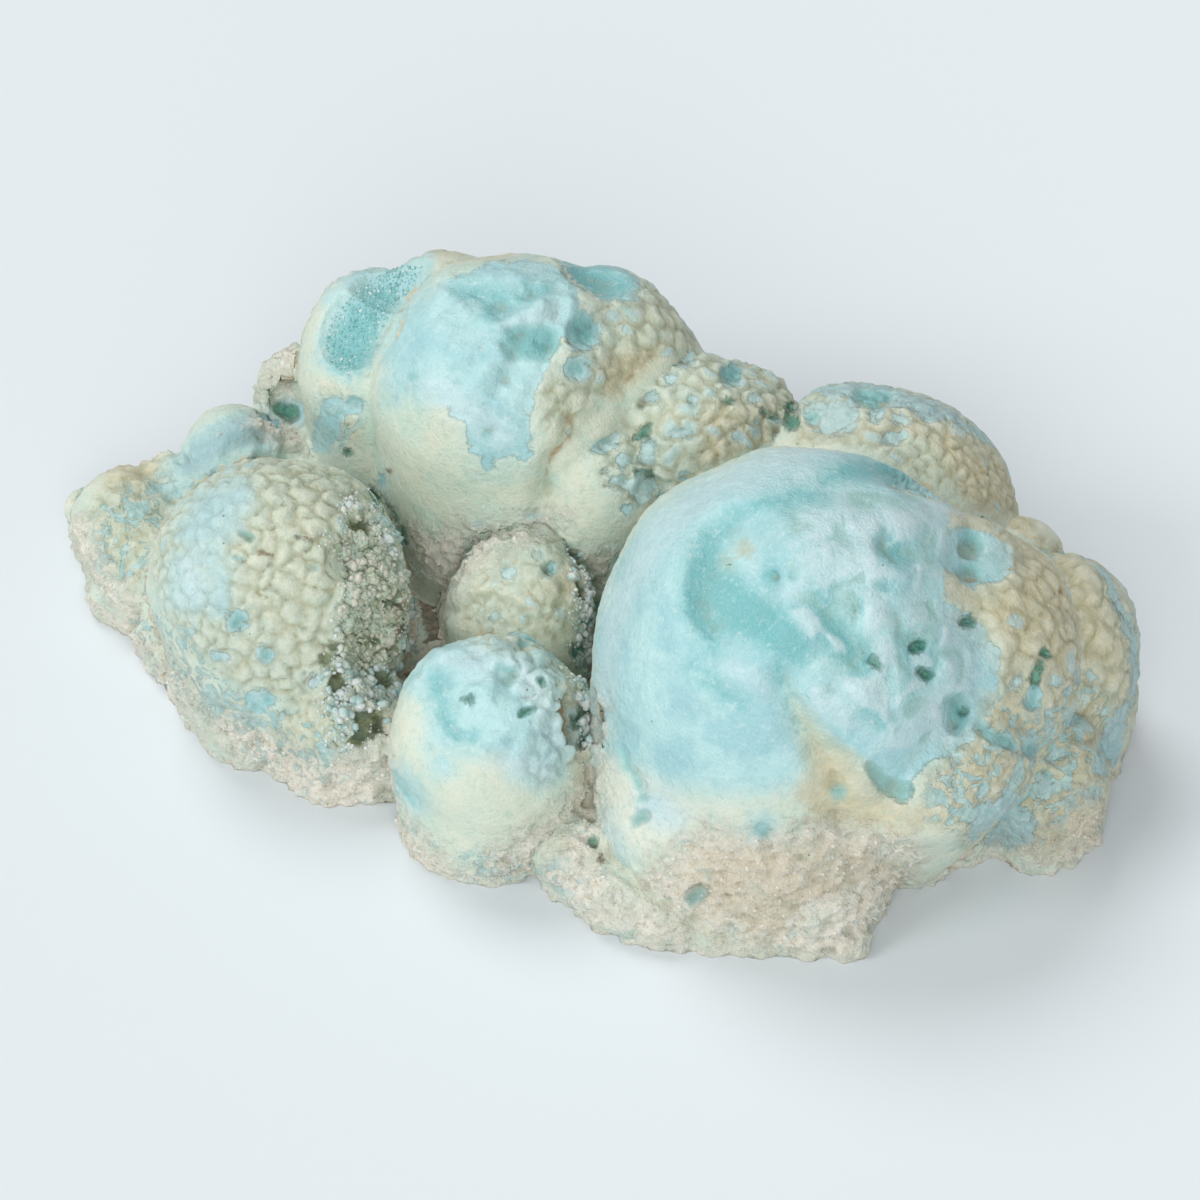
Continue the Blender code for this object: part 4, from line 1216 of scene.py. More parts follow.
# %% Mark the fields
LACE = {
    "right_side": (
        ((930, 790), (948, 756), (985, 706), (1012, 690), (1040, 716), (1090, 684), (1112, 700), (1108, 770),
         (1085, 800), (1045, 846), (960, 842), (926, 815)),
    ),
    "all": (
        ((120, 600), (160, 612), (190, 640), (235, 690), (300, 712), (340, 745), (330, 790), (270, 765), (200, 715),
         (140, 650)),
        ((400, 820), (450, 850), (560, 860), (600, 890), (560, 900), (480, 890)),
    ),
    "left_end": (((100, 500), (170, 470), (200, 490), (180, 540), (130, 590), (90, 570)),),
    "scooped": (((315, 400), (345, 392), (362, 420), (345, 450), (312, 446)),),
}
SUGARY = {
    "scooped": (
        ((325, 345), (331, 318), (342, 302), (368, 281), (396, 266), (424, 264), (414, 288), (390, 314), (374, 344),
         (366, 360), (347, 376), (328, 362)),
    ),
}
CREAM_CRUMBS = {
    "left": (((352, 530, 3), (372, 600, 5.5), (370, 650, 4)),),
}
print(count(LACE), "fields of lace")

# %% [markdown]
# ## Shape the skin
# All relief is now added up and the points move outward by the sum. Two fields get a soft relief of their
# own: the great dome's swirls are lumps that run together, and the crowns are dimpled. Where relief would
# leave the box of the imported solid, the outermost points are pressed together a little.

# %% Soft lumps, dimples and the box
SWIRL_ZONE = {
    "great_right": (
        ((778, 505), (830, 484), (930, 484), (962, 500), (950, 560), (940, 600), (975, 650), (985, 700), (940, 745),
         (880, 760), (830, 725), (800, 690), (800, 640), (775, 600)),
    ),
}
DIMPLE_ZONE = {
    "great_back": (((430, 280), (520, 262), (580, 300), (560, 360), (530, 440), (480, 440), (440, 380)),),
    "front": (((400, 650), (470, 625), (560, 640), (600, 700), (590, 760), (520, 770), (430, 750)),),
    "left_end": (((70, 520), (120, 460), (280, 400), (300, 450), (220, 500), (170, 560), (110, 590)),),
}
ZONE_EDGE = 3.0
CLOUD_SIZE = 7.0
CLOUD_FINE = 3.4
DEEPEST = 6.0
INSIDE_BOX = 0.05
PRESSED_OVER = 2.5


def clouds(points):
    """Soft lumps that run together, large ones with smaller ones on them, from about -1 to 1."""
    bent = swirled(points, 0.8, 6.0, (41, 42, 43))
    return 0.6 * waves(bent, CLOUD_SIZE, 44) + 0.35 * waves(bent, CLOUD_FINE, 45)


def dimples(points):
    """Small round hollows close together, between soft knobs."""
    return 0.7 * waves(points, 4.6, 46) + 0.5 * waves(points, 2.4, 47)


def zone_share(seen, zone):
    """One inside a field, with a soft edge."""
    return smooth_step(seen.layer(zone) / ZONE_EDGE + 0.3) * seen.share


def kept_in_box(points):
    """The points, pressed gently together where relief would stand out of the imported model's box."""
    points = points.copy()
    for axis in range(3):
        for side, way in zip(CAD_BOX, (-1.0, 1.0)):
            limit = way * side[axis] / MM - INSIDE_BOX
            reached = (way * points[:, axis]).max()
            if reached > limit and (axis, way) != (2, -1.0):
                knee = limit - PRESSED_OVER
                beyond = way * points[:, axis] > knee
                share = (limit - knee) / (reached - knee)
                points[beyond, axis] = way * (knee + (way * points[beyond, axis] - knee) * share)
    return points


def store(data, name, values):
    """Keeps one number for each point in the mesh, for the shader to read."""
    layer = data.attributes.new(name, "FLOAT", "POINT")
    layer.data.foreach_set("value", np.clip(values, -DEEPEST, DEEPEST).astype(np.float32))


def read_layer(data, name):
    """The numbers that a mesh keeps under this name."""
    values = np.empty(len(data.vertices), np.float32)
    data.attributes[name].data.foreach_get("value", values)
    return values


def move_to(data, points):
    """Puts the mesh's corners at the points."""
    data.vertices.foreach_set("co", points.astype(np.float32).ravel())
    data.update()


print("swirls share", round(float((zone_share(seen, SWIRL_ZONE) > 0.5).mean()), 3), "of the points")

# %% Add all relief to the skin
SWELL = 0.30
SWELL_LENGTH = 17.0
CLOUD_RISE = 0.20
DIMPLE_RISE = 0.28
CHALK_GRAIN = 0.22
CHALK_LUMPS = 0.20
CHALK_EVERYWHERE = 0.2
CHALK_EDGE = 3.0
BLUE_STEP = 0.22
BLUE_EDGE = 1.4
SOFT_EDGE = 4.0
CRUMB_SIZE = 2.7
CRUMB_HEIGHT = 1.25
CRUMB_EDGE = 1.5


def off_edge(seen):
    """How far each point lies from the nearest edge of a mark, in mm."""
    away = np.full(len(seen.spots), -FAR_OUT)
    for marks in (BLUE, TEAL_FLOORS, OLIVE_HOLES, CRUMB_HOLES):
        away = np.minimum(away, np.abs(seen.layer(marks)))
    return away


def shape_skin(data):
    """Adds all relief to the fused skin, and stores what the colours need to know about it."""
    points, outward = read_skin(data)
    for hollow in HOLLOWS.values():
        points = press(points, outward, hollow)
    move_to(data, points)
    points, outward = read_skin(data)
    seen = SeenSkin(points, outward)
    chalk = np.clip(chalk_reach(points, seen) / CHALK_EDGE + 0.5, 0.0, 1.0)
    crumbly = np.clip(seen.layer(CRUMBLY) / CRUMB_EDGE + 0.5, 0.0, 1.0) * (seen.share > 0.0)
    crumbs, gap = crumb_relief(points, crumbly, CRUMB_SIZE, CRUMB_HEIGHT)
    swirly = zone_share(seen, SWIRL_ZONE)
    cloudy = np.zeros(len(points))
    cloudy[swirly > 0.0] = clouds(points[swirly > 0.0]) * swirly[swirly > 0.0]
    rise = SWELL * waves(points, SWELL_LENGTH, 3) + CLOUD_RISE * cloudy
    rise += DIMPLE_RISE * zone_share(seen, DIMPLE_ZONE) * dimples(points)
    rise += pebbles * (1.0 - crumbly) * (1.0 - chalk) * (1.0 - swirly)
    rise += (CHALK_EVERYWHERE + chalk) * (CHALK_LUMPS * waves(points, 3.6, 5) + CHALK_GRAIN * waves(points, 1.6, 6))
    rise += crumbs
    crisp = 1.0 - np.clip(seen.layer(SOFT) / SOFT_EDGE + 0.5, 0.0, 1.0)
    rise -= BLUE_STEP * crisp * smooth_step(BLUE_EDGE * seen.layer(BLUE) + 0.5) * seen.share
    rise += furrow_relief(points) + fold_relief(seen, FOLDS)
    rise += pit_relief(seen, TEAL_PITS) + pit_relief(seen, GREEN_HOLES) + pit_relief(seen, DENTS)
    store(data, "gap", gap)
    store(data, "grooves", grooves * (1.0 - chalk) * (1.0 - crumbly))
    store(data, "cloudy", cloudy)
    store(data, "pebbly", pebbly * (1.0 - chalk))
    store(data, "pebble_top", pebble_tops)
    loose = np.maximum(seen.layer(SUGARY), seen.layer(CRUMBLY))
    store(data, "off_edge", np.where(loose > -0.5, 0.0, off_edge(seen)))
    move_to(data, kept_in_box(points + outward * rise[:, None]))


shape_skin(skin)
print("shaped", len(skin.vertices), "vertices")

# %% [markdown]
# ## Thin and cut
# The skin is finer than it needs to be where it is smooth. The Decimate modifier joins faces where that
# changes the shape least, and a vertex group keeps all of them where a mark has its edge. Then the stone is
# cut level, and the cut is filled.

# %% Thin the skin and cut it level
MOST_TRIANGLES = 190000
ROUGH_CUT = -1.2
EDGE_BAND = 0.45


def cut_level(data, height, fill):
    """Cuts the mesh off at a height, and closes the cut if asked."""
    shape = bmesh.new()
    shape.from_mesh(data)
    everything = list(shape.verts) + list(shape.edges) + list(shape.faces)
    cut = bmesh.ops.bisect_plane(shape, geom=everything, plane_co=(0, 0, height), plane_no=(0, 0, 1), clear_inner=True)
    if fill:
        rim = [item for item in cut["geom_cut"] if isinstance(item, bmesh.types.BMEdge)]
        filled = bmesh.ops.triangle_fill(shape, use_beauty=True, edges=rim)
        for face in [item for item in filled["geom"] if isinstance(item, bmesh.types.BMFace)]:
            if face.normal.z > 0.0:
                face.normal_flip()
    bmesh.ops.triangulate(shape, faces=[face for face in shape.faces if len(face.verts) > 3])
    shape.to_mesh(data)
    shape.free()


def thinned(data, most):
    """The mesh with fewer faces, but with all of them where a mark has its edge."""
    holder = holder_of(data)
    away = read_layer(data, "off_edge")
    holder.vertex_groups.new(name="kept").add(np.flatnonzero(away < EDGE_BAND).tolist(), 1.0, "REPLACE")
    fewer = holder.modifiers.new("fewer", "DECIMATE")
    fewer.vertex_group = "kept"
    fewer.invert_vertex_group = True
    fewer.ratio = min(1.0, most / len(data.polygons))
    return baked(holder)


cut_level(skin, ROUGH_CUT, False)
skin = thinned(skin, MOST_TRIANGLES)
cut_level(skin, 0.0, True)
print("cut skin:", len(skin.polygons), "triangles")

# %% [markdown]
# ## Hollows, large and small
# Dirt and painted shade gather in hollows, painted light lies on crests and in chalky clefts, so the colours need to
# know how deep each point lies.
# A copy of the skin is smoothed: points in a hollow end up above where they started, and points on a crest
# below. Two rounds of smoothing find fine creases, and many rounds find the clefts between domes.

# %% Measure the hollows
CURVE_ROUNDS = 2
HOLLOW_ROUNDS = 24


def neighbour_mean(values, starts, ends, count):
    """The mean of each point's neighbours."""
    total = [np.bincount(starts, column[ends], count) + np.bincount(ends, column[starts], count) for column in values.T]
    near = np.bincount(starts, minlength=count) + np.bincount(ends, minlength=count)
    return np.stack(total, axis=1) / np.maximum(near, 1)[:, None]


def hollowness(data, points, outward, rounds):
    """How deep in a hollow each point lies in mm, measured over a patch that grows with the rounds."""
    edges = np.empty(len(data.edges) * 2, np.int32)
    data.edges.foreach_get("vertices", edges)
    starts, ends = edges[0::2], edges[1::2]
    soft = points.copy()
    for _ in range(rounds):
        soft = 0.5 * soft + 0.5 * neighbour_mean(soft, starts, ends, len(points))
    deep = ((soft - points) * outward).sum(axis=1, keepdims=True)
    return neighbour_mean(deep, starts, ends, len(points))[:, 0]


stone_points, stone_outward = read_skin(skin)
hollow = hollowness(skin, stone_points, stone_outward, HOLLOW_ROUNDS)
print("hollows from", hollow.min().round(2), "to", hollow.max().round(2), "mm")

# %% [markdown]
# ## Store the layers
# Each layer is stored as the millimetres inside its edge, because the shader can then break that edge with a
# fine noise. On the hidden sides waves decide: how strong they are, how long, and how much is taken off sets
# the size and the share of the patches.

# %% Store every layer on the points
# Marks, and for the hidden sides the strength, the length in mm and the seed of the waves, and the shift
LAYERS = {
    "teal_soft": (TEAL_SOFT, 2.0, 9.0, 38, -1.6),
    "steel": (STEEL, 2.4, 15.0, 32, -2.0),
    "milk": (MILK, 2.0, 9.0, 33, -1.2),
    "warm": (WARM, 2.0, 13.0, 34, -2.6),
    "tan": (TAN, 3.0, 24.0, 35, -0.6),
}
NO_CHALK = -0.5
LOOSE_WANDER, LOOSE_LENGTH = 0.9, 3.2
GAP_EMPTY = 4.0


def store_layers(data, points, outward):
    """Stores all layers, and gives back the reaches that the scattered lumps need."""
    seen = SeenSkin(points, outward)
    chalk = chalk_reach(points, seen)
    worn = 2.0 * waves(points, 12.0, 21) + 1.2 * waves(points, 5.0, 22) - 2.0
    store(data, "chalk", chalk)
    store(data, "blue", blend(seen, seen.layer(BLUE), np.where(chalk > NO_CHALK, FAR_OUT, worn)))
    store(data, "soft", seen.share * np.clip(seen.layer(SOFT) / SOFT_EDGE + 0.5, 0.0, 1.0))
    for name, (marks, strength, length, seed, shift) in LAYERS.items():
        store(data, name, blend(seen, seen.layer(marks), strength * waves(points, length, seed) + shift))
    floors = np.maximum(seen.layer(TEAL_FLOORS) - 0.25, seen.layer(TEAL_DOTS))
    store(data, "teal", blend(seen, floors, 1.6 * waves(points, 6.0, 31) - 2.6))
    store(data, "crease", blend(seen, seen.layer(CREASE) - 0.15, 5.0 * (hollow - 0.5)))
    # On the hidden sides the deepest hollows get soil that is also painted shade
    store(data, "soil_and_shade", blend(seen, seen.layer(SOIL_AND_SHADE), 6.0 * (hollow - 1.0)))
    holes = 1.8 * waves(points, 7.0, 36) + 0.9 * waves(points, 3.0, 37) - 4.4
    store(data, "hole", blend(seen, seen.layer(OLIVE_HOLES), holes))
    store(data, "olive", seen.layer(CRUMB_HOLES))
    store(data, "lace", seen.layer(LACE))
    store(data, "hollow", hollow)
    store(data, "curve", hollowness(data, points, outward, CURVE_ROUNDS))
    crumbly = seen.layer(CRUMBLY) + LOOSE_WANDER * waves(points, LOOSE_LENGTH, 71)
    crumbly = np.where(seen.share > 0.2, crumbly, FAR_OUT) - GAP_EMPTY * read_layer(data, "gap")
    return {"chalk": chalk, "crumbly": crumbly, "cream": seen.layer(CREAM_CRUMBS), "sugary": seen.layer(SUGARY)}


reaches = store_layers(skin, stone_points, stone_outward)
print("layers:", ", ".join(layer.name for layer in skin.attributes if layer.data_type == "FLOAT"))

# %% [markdown]
# ## Crumbs, grains and crystals
# Chalk is a crust of grains, the broken flanks are heaps of crumbs, and the scoop glitters with crystals. They
# are too small for the skin's mesh, so they are separate lumps: a coarse ball, pushed in and out at random,
# turned and sunk into the skin. All lumps of one kind are one mesh, so that the scene stays light.

# %% Scatter small lumps on the skin
UNEVEN = 0.28
BOX_ROOM = 1.0
ROOM_BELOW = 0.9
LUMP_ROUNDS = 1
# Reach, added to it in mm, distance apart, smallest and largest radius, length, share sunk in, seed
LUMPS = {
    "crumbs": ("crumbly", -0.2, 0.82, 0.28, 0.85, 1.4, 0.62, 61),
    "fine_crumbs": ("crumbly", 0.6, 0.56, 0.15, 0.34, 1.3, 0.5, 62),
    "chalk_grains": ("chalk", -0.6, 1.15, 0.16, 0.42, 1.1, 0.7, 63),
    "crystals": ("sugary", -0.1, 0.46, 0.12, 0.30, 1.4, 0.55, 64),
}


def scatter(name, reach, apart, small, large, long, sunk, seed):
    """A mesh of many uneven lumps, one for each scattered point inside the reach."""
    low, high = np.array(CAD_BOX) / MM
    room = (stone_points > low + BOX_ROOM).all(axis=1) | (stone_points[:, 2] < BOX_ROOM)
    room &= (stone_points < high - BOX_ROOM).all(axis=1) & (stone_points[:, 2] > ROOM_BELOW)
    inside = np.flatnonzero((reach > 0.0) & room)
    chosen = inside[spread_out(stone_points[inside], apart, seed)]
    random = np.random.default_rng(seed)
    corners, faces = unit_ball(LUMP_ROUNDS)
    size = small + (large - small) * random.random(len(chosen)) ** 2
    lumps = corners * random.uniform(1.0 - UNEVEN, 1.0 + UNEVEN, size=(len(chosen), len(corners), 1))
    lumps *= np.stack((np.ones(len(chosen)), random.uniform(0.7, 1.0, len(chosen)),
                       long * random.uniform(0.8, 1.2, len(chosen))), axis=1)[:, None]
    turns = np.linalg.qr(random.normal(size=(len(chosen), 3, 3)))[0]
    turns *= np.linalg.det(turns)[:, None, None]
    lumps = np.einsum("nij,nkj->nki", turns, lumps) * size[:, None, None]
    lumps += (stone_points[chosen] + stone_outward[chosen] * (size * (1.0 - 2.0 * sunk))[:, None])[:, None]
    joined = faces + len(corners) * np.arange(len(chosen))[:, None, None]
    data = bpy.data.meshes.new(name)
    data.from_pydata((lumps.reshape(-1, 3) * MM).tolist(), [], joined.reshape(-1, 3).tolist())
    store(data, "tone", np.repeat(random.random(len(chosen)), len(corners)))
    store(data, "cream", np.repeat(np.clip(reaches["cream"][chosen] + 0.5, 0.0, 1.0), len(corners)))
    data.shade_smooth()
    print(name, len(chosen), "lumps,", len(data.polygons), "triangles")
    return data


lumps = {name: scatter(name, reaches[kind] + shift, *values) for name, (kind, shift, *values) in LUMPS.items()}

# %% [markdown]
# ## Shader helpers
# A shader is a graph of small nodes, and it stays readable when common steps have a short name. The helpers
# below add one node each. Colours are given as they look on a screen and turned into the linear values that
# a shader needs. Most looks here are layers: a first colour, then one colour after another laid over it by a
# share from zero to one, so one helper takes a whole list of them.

# %% Helpers for shader graphs
SHADE = 0.82
FLOAT, VECTOR, COLOUR = "NodeSocketFloat", "NodeSocketVector", "NodeSocketColor"


def srgb(red, green, blue):
    """A colour given from 0 to 255 as it looks in full light, as linear values for a shader."""
    parts = [part / 255.0 for part in (red, green, blue)]
    return tuple(SHADE * ((part + 0.055) / 1.055) ** 2.4 for part in parts) + (1.0,)


class Graph:
    """Adds nodes to one node tree."""

    def __init__(self, tree):
        self.tree = tree

    def add(self, kind, inputs=(), **settings):
        node = self.tree.nodes.new(kind)
        for name, value in settings.items():
            setattr(node, name, value)
        for name, value in dict(inputs).items():
            self.give(node.inputs[name], value)
        return node

    def give(self, socket, value):
        """Links the value if another node makes it, and sets it if it is a constant."""
        if isinstance(value, bpy.types.NodeSocket):
            self.tree.links.new(value, socket)
        else:
            socket.default_value = value

    def math(self, operation, first, second=0.0, third=0.0, clamp=False):
        node = self.add("ShaderNodeMath", operation=operation, use_clamp=clamp)
        for socket, value in zip(node.inputs, (first, second, third)):
            self.give(socket, value)
        return node.outputs[0]

    def times(self, first, second, clamp=False):
        return self.math("MULTIPLY", first, second, clamp=clamp)

    def times_add(self, first, second, third, clamp=False):
        return self.math("MULTIPLY_ADD", first, second, third, clamp)

    def ramp(self, value, low, high, end=1.0, start=0.0):
        """From start to end as the value goes from low to high, with soft ends."""
        places = {"Value": value, "From Min": low, "From Max": high, "To Min": start, "To Max": end}
        return self.add("ShaderNodeMapRange", places, interpolation_type="SMOOTHSTEP").outputs["Result"]

    def mix(self, share, under, over):
        node = self.add("ShaderNodeMix", data_type="RGBA", clamp_factor=True)
        sockets = [socket for socket in node.inputs if socket.enabled]
        for socket, value in zip(sockets, (share, under, over)):
            self.give(socket, srgb(*value) if isinstance(value, tuple) else value)
        return next(socket for socket in node.outputs if socket.enabled)

    def shade(self, value, low, high, first, second):
        """From the first colour to the second as the value goes from low to high."""
        return self.mix(self.ramp(value, low, high), first, second)

    def layered(self, colour, *rows):
        """The colour with others laid over it. A row is a share and a colour, or a mask, its share and a colour,
        or a value, where its ramp starts and ends, its share and a colour."""
        for *how, over in rows:
            share = how[0] if len(how) == 1 else self.times(*how) if len(how) == 2 else self.ramp(*how)
            colour = self.mix(share, colour, over)
        return colour

    def layer(self, name):
        """A number stored on the points."""
        return self.add("ShaderNodeAttribute", attribute_name=name).outputs["Fac"]

    def noise(self, place, size, detail=3.0, rough=0.5, warp=0.0):
        """Cloudy noise from 0 to 1 with lumps of about this size in mm."""
        values = {"Vector": place, "Scale": 1.0 / size, "Detail": detail, "Roughness": rough, "Distortion": warp}
        return self.add("ShaderNodeTexNoise", values).outputs["Fac"]

    def group(self, tree, inputs):
        return self.add("ShaderNodeGroup", inputs, node_tree=tree).outputs


def new_group(name, inputs, outputs):
    """An empty shader group with float, vector or colour sockets."""
    tree = bpy.data.node_groups.new(name, "ShaderNodeTree")
    for label, (kind, value) in inputs.items():
        socket = tree.interface.new_socket(label, in_out="INPUT", socket_type=kind)
        if value is not None:
            socket.default_value = value
    for label, kind in outputs.items():
        tree.interface.new_socket(label, in_out="OUTPUT", socket_type=kind)
    graph = Graph(tree)
    return tree, graph, graph.add("NodeGroupInput").outputs, graph.add("NodeGroupOutput").inputs


print("full light shows", [round(part, 2) for part in srgb(255, 255, 255)[:3]])

# %% [markdown]
# ## Shared effects
# A layer's edge is broken: noise sways it in and out, so a mark gets a crisp and irregular outline. The noise
# is a group of its own, because all the layers can share one copy of it, which renders much faster. Specks are
# tiny dots on scattered cells. Grain is the fine mottling of a mineral surface, and the chalk look is the whole
# colour and relief of the white crust. As groups they have one definition each.

# %% Groups for broken edges, specks and grain
SWAY_SIZE, TEAR_SIZE, TEAR_SHARE = 2.0, 0.6, 0.35
SWAY_MIDDLE, SWAY_REACH = 0.675, 4.0
sway_tree, graph, given, out = new_group("sway", {"Place": (VECTOR, None)}, {"Sway": FLOAT})
ragged = graph.times_add(graph.noise(given["Place"], TEAR_SIZE, 3.0, 0.6), TEAR_SHARE,
                         graph.noise(given["Place"], SWAY_SIZE, 6.0, 0.66, 0.5))
graph.give(out["Sway"], graph.times(graph.math("SUBTRACT", ragged, SWAY_MIDDLE), SWAY_REACH))

edge_tree, graph, given, out = new_group(
    "broken_edge", {"Reach": (FLOAT, 0.0), "Sway": (FLOAT, 0.0), "Wander": (FLOAT, 1.5), "Softness": (FLOAT, 0.25)},
    {"Mask": FLOAT})
moved = graph.times_add(given["Sway"], given["Wander"], given["Reach"])
graph.give(out["Mask"], graph.ramp(moved, graph.times(given["Softness"], -1.0), given["Softness"]))

speck_tree, graph, given, out = new_group(
    "specks", {"Place": (VECTOR, None), "Size": (FLOAT, 2.0), "Share": (FLOAT, 0.4), "Radius": (FLOAT, 0.12)},
    {"Mask": FLOAT})
scale = graph.math("DIVIDE", 1.0, given["Size"])
spots = graph.add("ShaderNodeTexVoronoi", {"Vector": given["Place"], "Scale": scale, "Randomness": 1.0})
pick = graph.add("ShaderNodeSeparateColor", {"Color": spots.outputs["Color"]}).outputs
chosen = graph.math("LESS_THAN", pick["Red"], given["Share"])
width = graph.times(graph.math("DIVIDE", given["Radius"], given["Size"]), graph.math("ADD", pick["Green"], 0.5))
dot = graph.math("SUBTRACT", 1.0, graph.math("DIVIDE", spots.outputs["Distance"], width), clamp=True)
graph.give(out["Mask"], graph.times(chosen, graph.ramp(dot, 0.0, 0.4)))

grain_tree, graph, given, out = new_group("grain", {"Place": (VECTOR, None), "Size": (FLOAT, 0.5)}, {"Value": FLOAT})
tuned = graph.add("ShaderNodeVectorMath", operation="DIVIDE")
graph.give(tuned.inputs[0], given["Place"])
sizes = graph.add("ShaderNodeCombineXYZ", {axis: given["Size"] for axis in "XYZ"})
graph.give(tuned.inputs[1], sizes.outputs["Vector"])
graph.give(out["Value"], graph.noise(tuned.outputs["Vector"], 1.0, 5.0, 0.65))
print("groups", [tree.name for tree in bpy.data.node_groups])

# %% Group for the look of chalk
GRAIN_SIZE = 0.32
CHALK_RELIEF, CHALK_GRIT = 0.55, 0.30
chalk_tree, graph, given, out = new_group("chalk_look", {"Place": (VECTOR, None)}, {"Color": COLOUR, "Height": FLOAT})
place = given["Place"]
cloud = graph.noise(place, 8.0, 3.0, 0.5, 0.6)
patch = graph.noise(place, 2.6, 5.0, 0.62, 0.5)
mottle = graph.noise(place, 0.9, 4.0, 0.65)
grain = graph.group(grain_tree, {"Place": place, "Size": GRAIN_SIZE})["Value"]
dark_grains = graph.group(speck_tree, {"Place": place, "Size": 1.3, "Share": 0.3, "Radius": 0.2})["Mask"]
# White and cream, then green clouds, teal patches, white grains, tan mottles and dark grains
graph.give(out["Color"], graph.layered(
    graph.shade(patch, 0.38, 0.68, (264, 259, 244), (250, 241, 219)),
    (cloud, 0.45, 0.62, 0.6, (218, 230, 212)),
    (patch, 0.43, 0.33, 0.75, (186, 220, 212)),
    (grain, 0.45, 0.7, 0.9, (255, 253, 248)),
    (mottle, 0.54, 0.68, 0.65, (204, 192, 158)),
    (dark_grains, 0.45, (140, 124, 92))))
graph.give(out["Height"], graph.times_add(grain, CHALK_GRIT, graph.times(mottle, CHALK_RELIEF)))
print("groups", [tree.name for tree in bpy.data.node_groups])

# %% [markdown]
# ## The stone material
# Aragonite like this looks waxy: pale, even, with a soft highlight and a little light carried under the skin.
# One painted picture could hold all that, but a stack of masks stays sharp at any distance. The layers are
# stacked as they are on the stone. Blue lies under the rind, so it is mixed in by its mask, and the rind is
# thin and bluish around it. Chalk covers both. Pits, holes, soil and painted shade come last.

# %% Start the stone material
PLACE_SCALE = 1.0 / MM


def new_material(name):
    """A new material, its graph and the place on the object in mm."""
    material = bpy.data.materials.new(name)
    material.use_nodes = True
    material.node_tree.nodes.clear()
    graph = Graph(material.node_tree)
    place = graph.add("ShaderNodeVectorMath", {"Scale": PLACE_SCALE}, operation="SCALE")
    graph.give(place.inputs[0], graph.add("ShaderNodeTexCoord").outputs["Object"])
    return material, graph, place.outputs["Vector"]


stone, graph, place = new_material("waxy_blue_stone")
sway = graph.group(sway_tree, {"Place": place})["Sway"]
cloud = graph.noise(place, 9.0, 3.0, 0.5, 0.6)
patch = graph.noise(place, 3.2, 5.0, 0.62, 0.5)
mottle = graph.noise(place, 1.1, 4.0, 0.6)
fine = graph.noise(place, 0.5, 3.0, 0.6)
grain = graph.group(grain_tree, {"Place": place, "Size": GRAIN_SIZE})["Value"]
cloudy, pebbly, grooves, curve, soft = [graph.layer(name) for name in ("cloudy", "pebbly", "grooves", "curve", "soft")]


def broken(reach, wander, softness):
    """A mask from how far inside a layer each point lies, with a broken edge."""
    return graph.group(edge_tree, {"Reach": reach, "Sway": sway, "Wander": wander, "Softness": softness})["Mask"]


def mask(name, wander, softness, shift=0.0):
    """A stored layer as a mask with a broken edge, shifted outward by so many mm."""
    return broken(graph.math("ADD", graph.layer(name), shift), wander, softness)


print("noises for the stone:", sum(node.type == "TEX_NOISE" for node in stone.node_tree.nodes))

# %% Colour the blue under the rind
# Clouds and patches, greyer pebbles, milk, steel, warm stains, two depths of teal, swirls, mottles and grain
blue = graph.layered(
    graph.shade(cloud, 0.35, 0.65, (166, 216, 222), (192, 232, 233)),
    (patch, 0.42, 0.75, 0.5, (156, 208, 212)),
    (pebbly, 0.45, (190, 214, 212)),
    (mask("milk", 1.0, 1.8), 0.5, (216, 236, 240)),
    (mask("steel", 0.9, 0.8), 0.65, (154, 190, 198)),
    (mask("warm", 0.9, 1.2), 0.6, (196, 194, 156)),
    (mask("teal_soft", 1.0, 1.6, 0.2), 0.7, (126, 198, 200)),
    (mask("teal_soft", 0.9, 1.2, -1.0), 0.6, (92, 180, 184)),
    (cloudy, -0.2, -0.9, 0.6, (150, 200, 192)),
    (cloudy, 0.1, 1.1, 0.6, (216, 236, 240)),
    (mottle, 0.54, 0.72, 0.4, (222, 240, 240)),
    (mottle, 0.45, 0.32, 0.3, (150, 200, 204)),
    (grain, 0.48, 0.8, 0.35, (228, 240, 240)))

# %% Colour the rind over it
# Celadon clouds, patches, pebbles, tan, milk, mottles, grain, grooves darkened by a stain and painted shade, and crests
# lightened by painted light
rind = graph.layered(
    graph.shade(cloud, 0.38, 0.62, (208, 230, 214), (224, 232, 212)),
    (patch, 0.52, 0.78, 0.45, (196, 226, 218)),
    (pebbly, 0.7, graph.shade(patch, 0.4, 0.66, (206, 214, 190), (188, 202, 182))),
    (mask("tan", 1.5, 2.0), 0.75,
     graph.shade(patch, 0.38, 0.66, (220, 207, 168), (200, 188, 150))),
    (mask("milk", 1.6, 2.0), 0.65, (240, 243, 230)),
    (mottle, 0.52, 0.7, 0.45, (236, 234, 216)),
    (mottle, 0.46, 0.34, 0.4, (182, 206, 188)),
    (grain, 0.5, 0.75, 0.3, (240, 240, 226)),
    # Grooves: a brown stain with painted shade. Crests: painted light, paler where the skin bulges.
    (grooves, 0.55, (168, 164, 122)),
    (curve, -0.01, -0.09, 0.3, (236, 236, 218)))

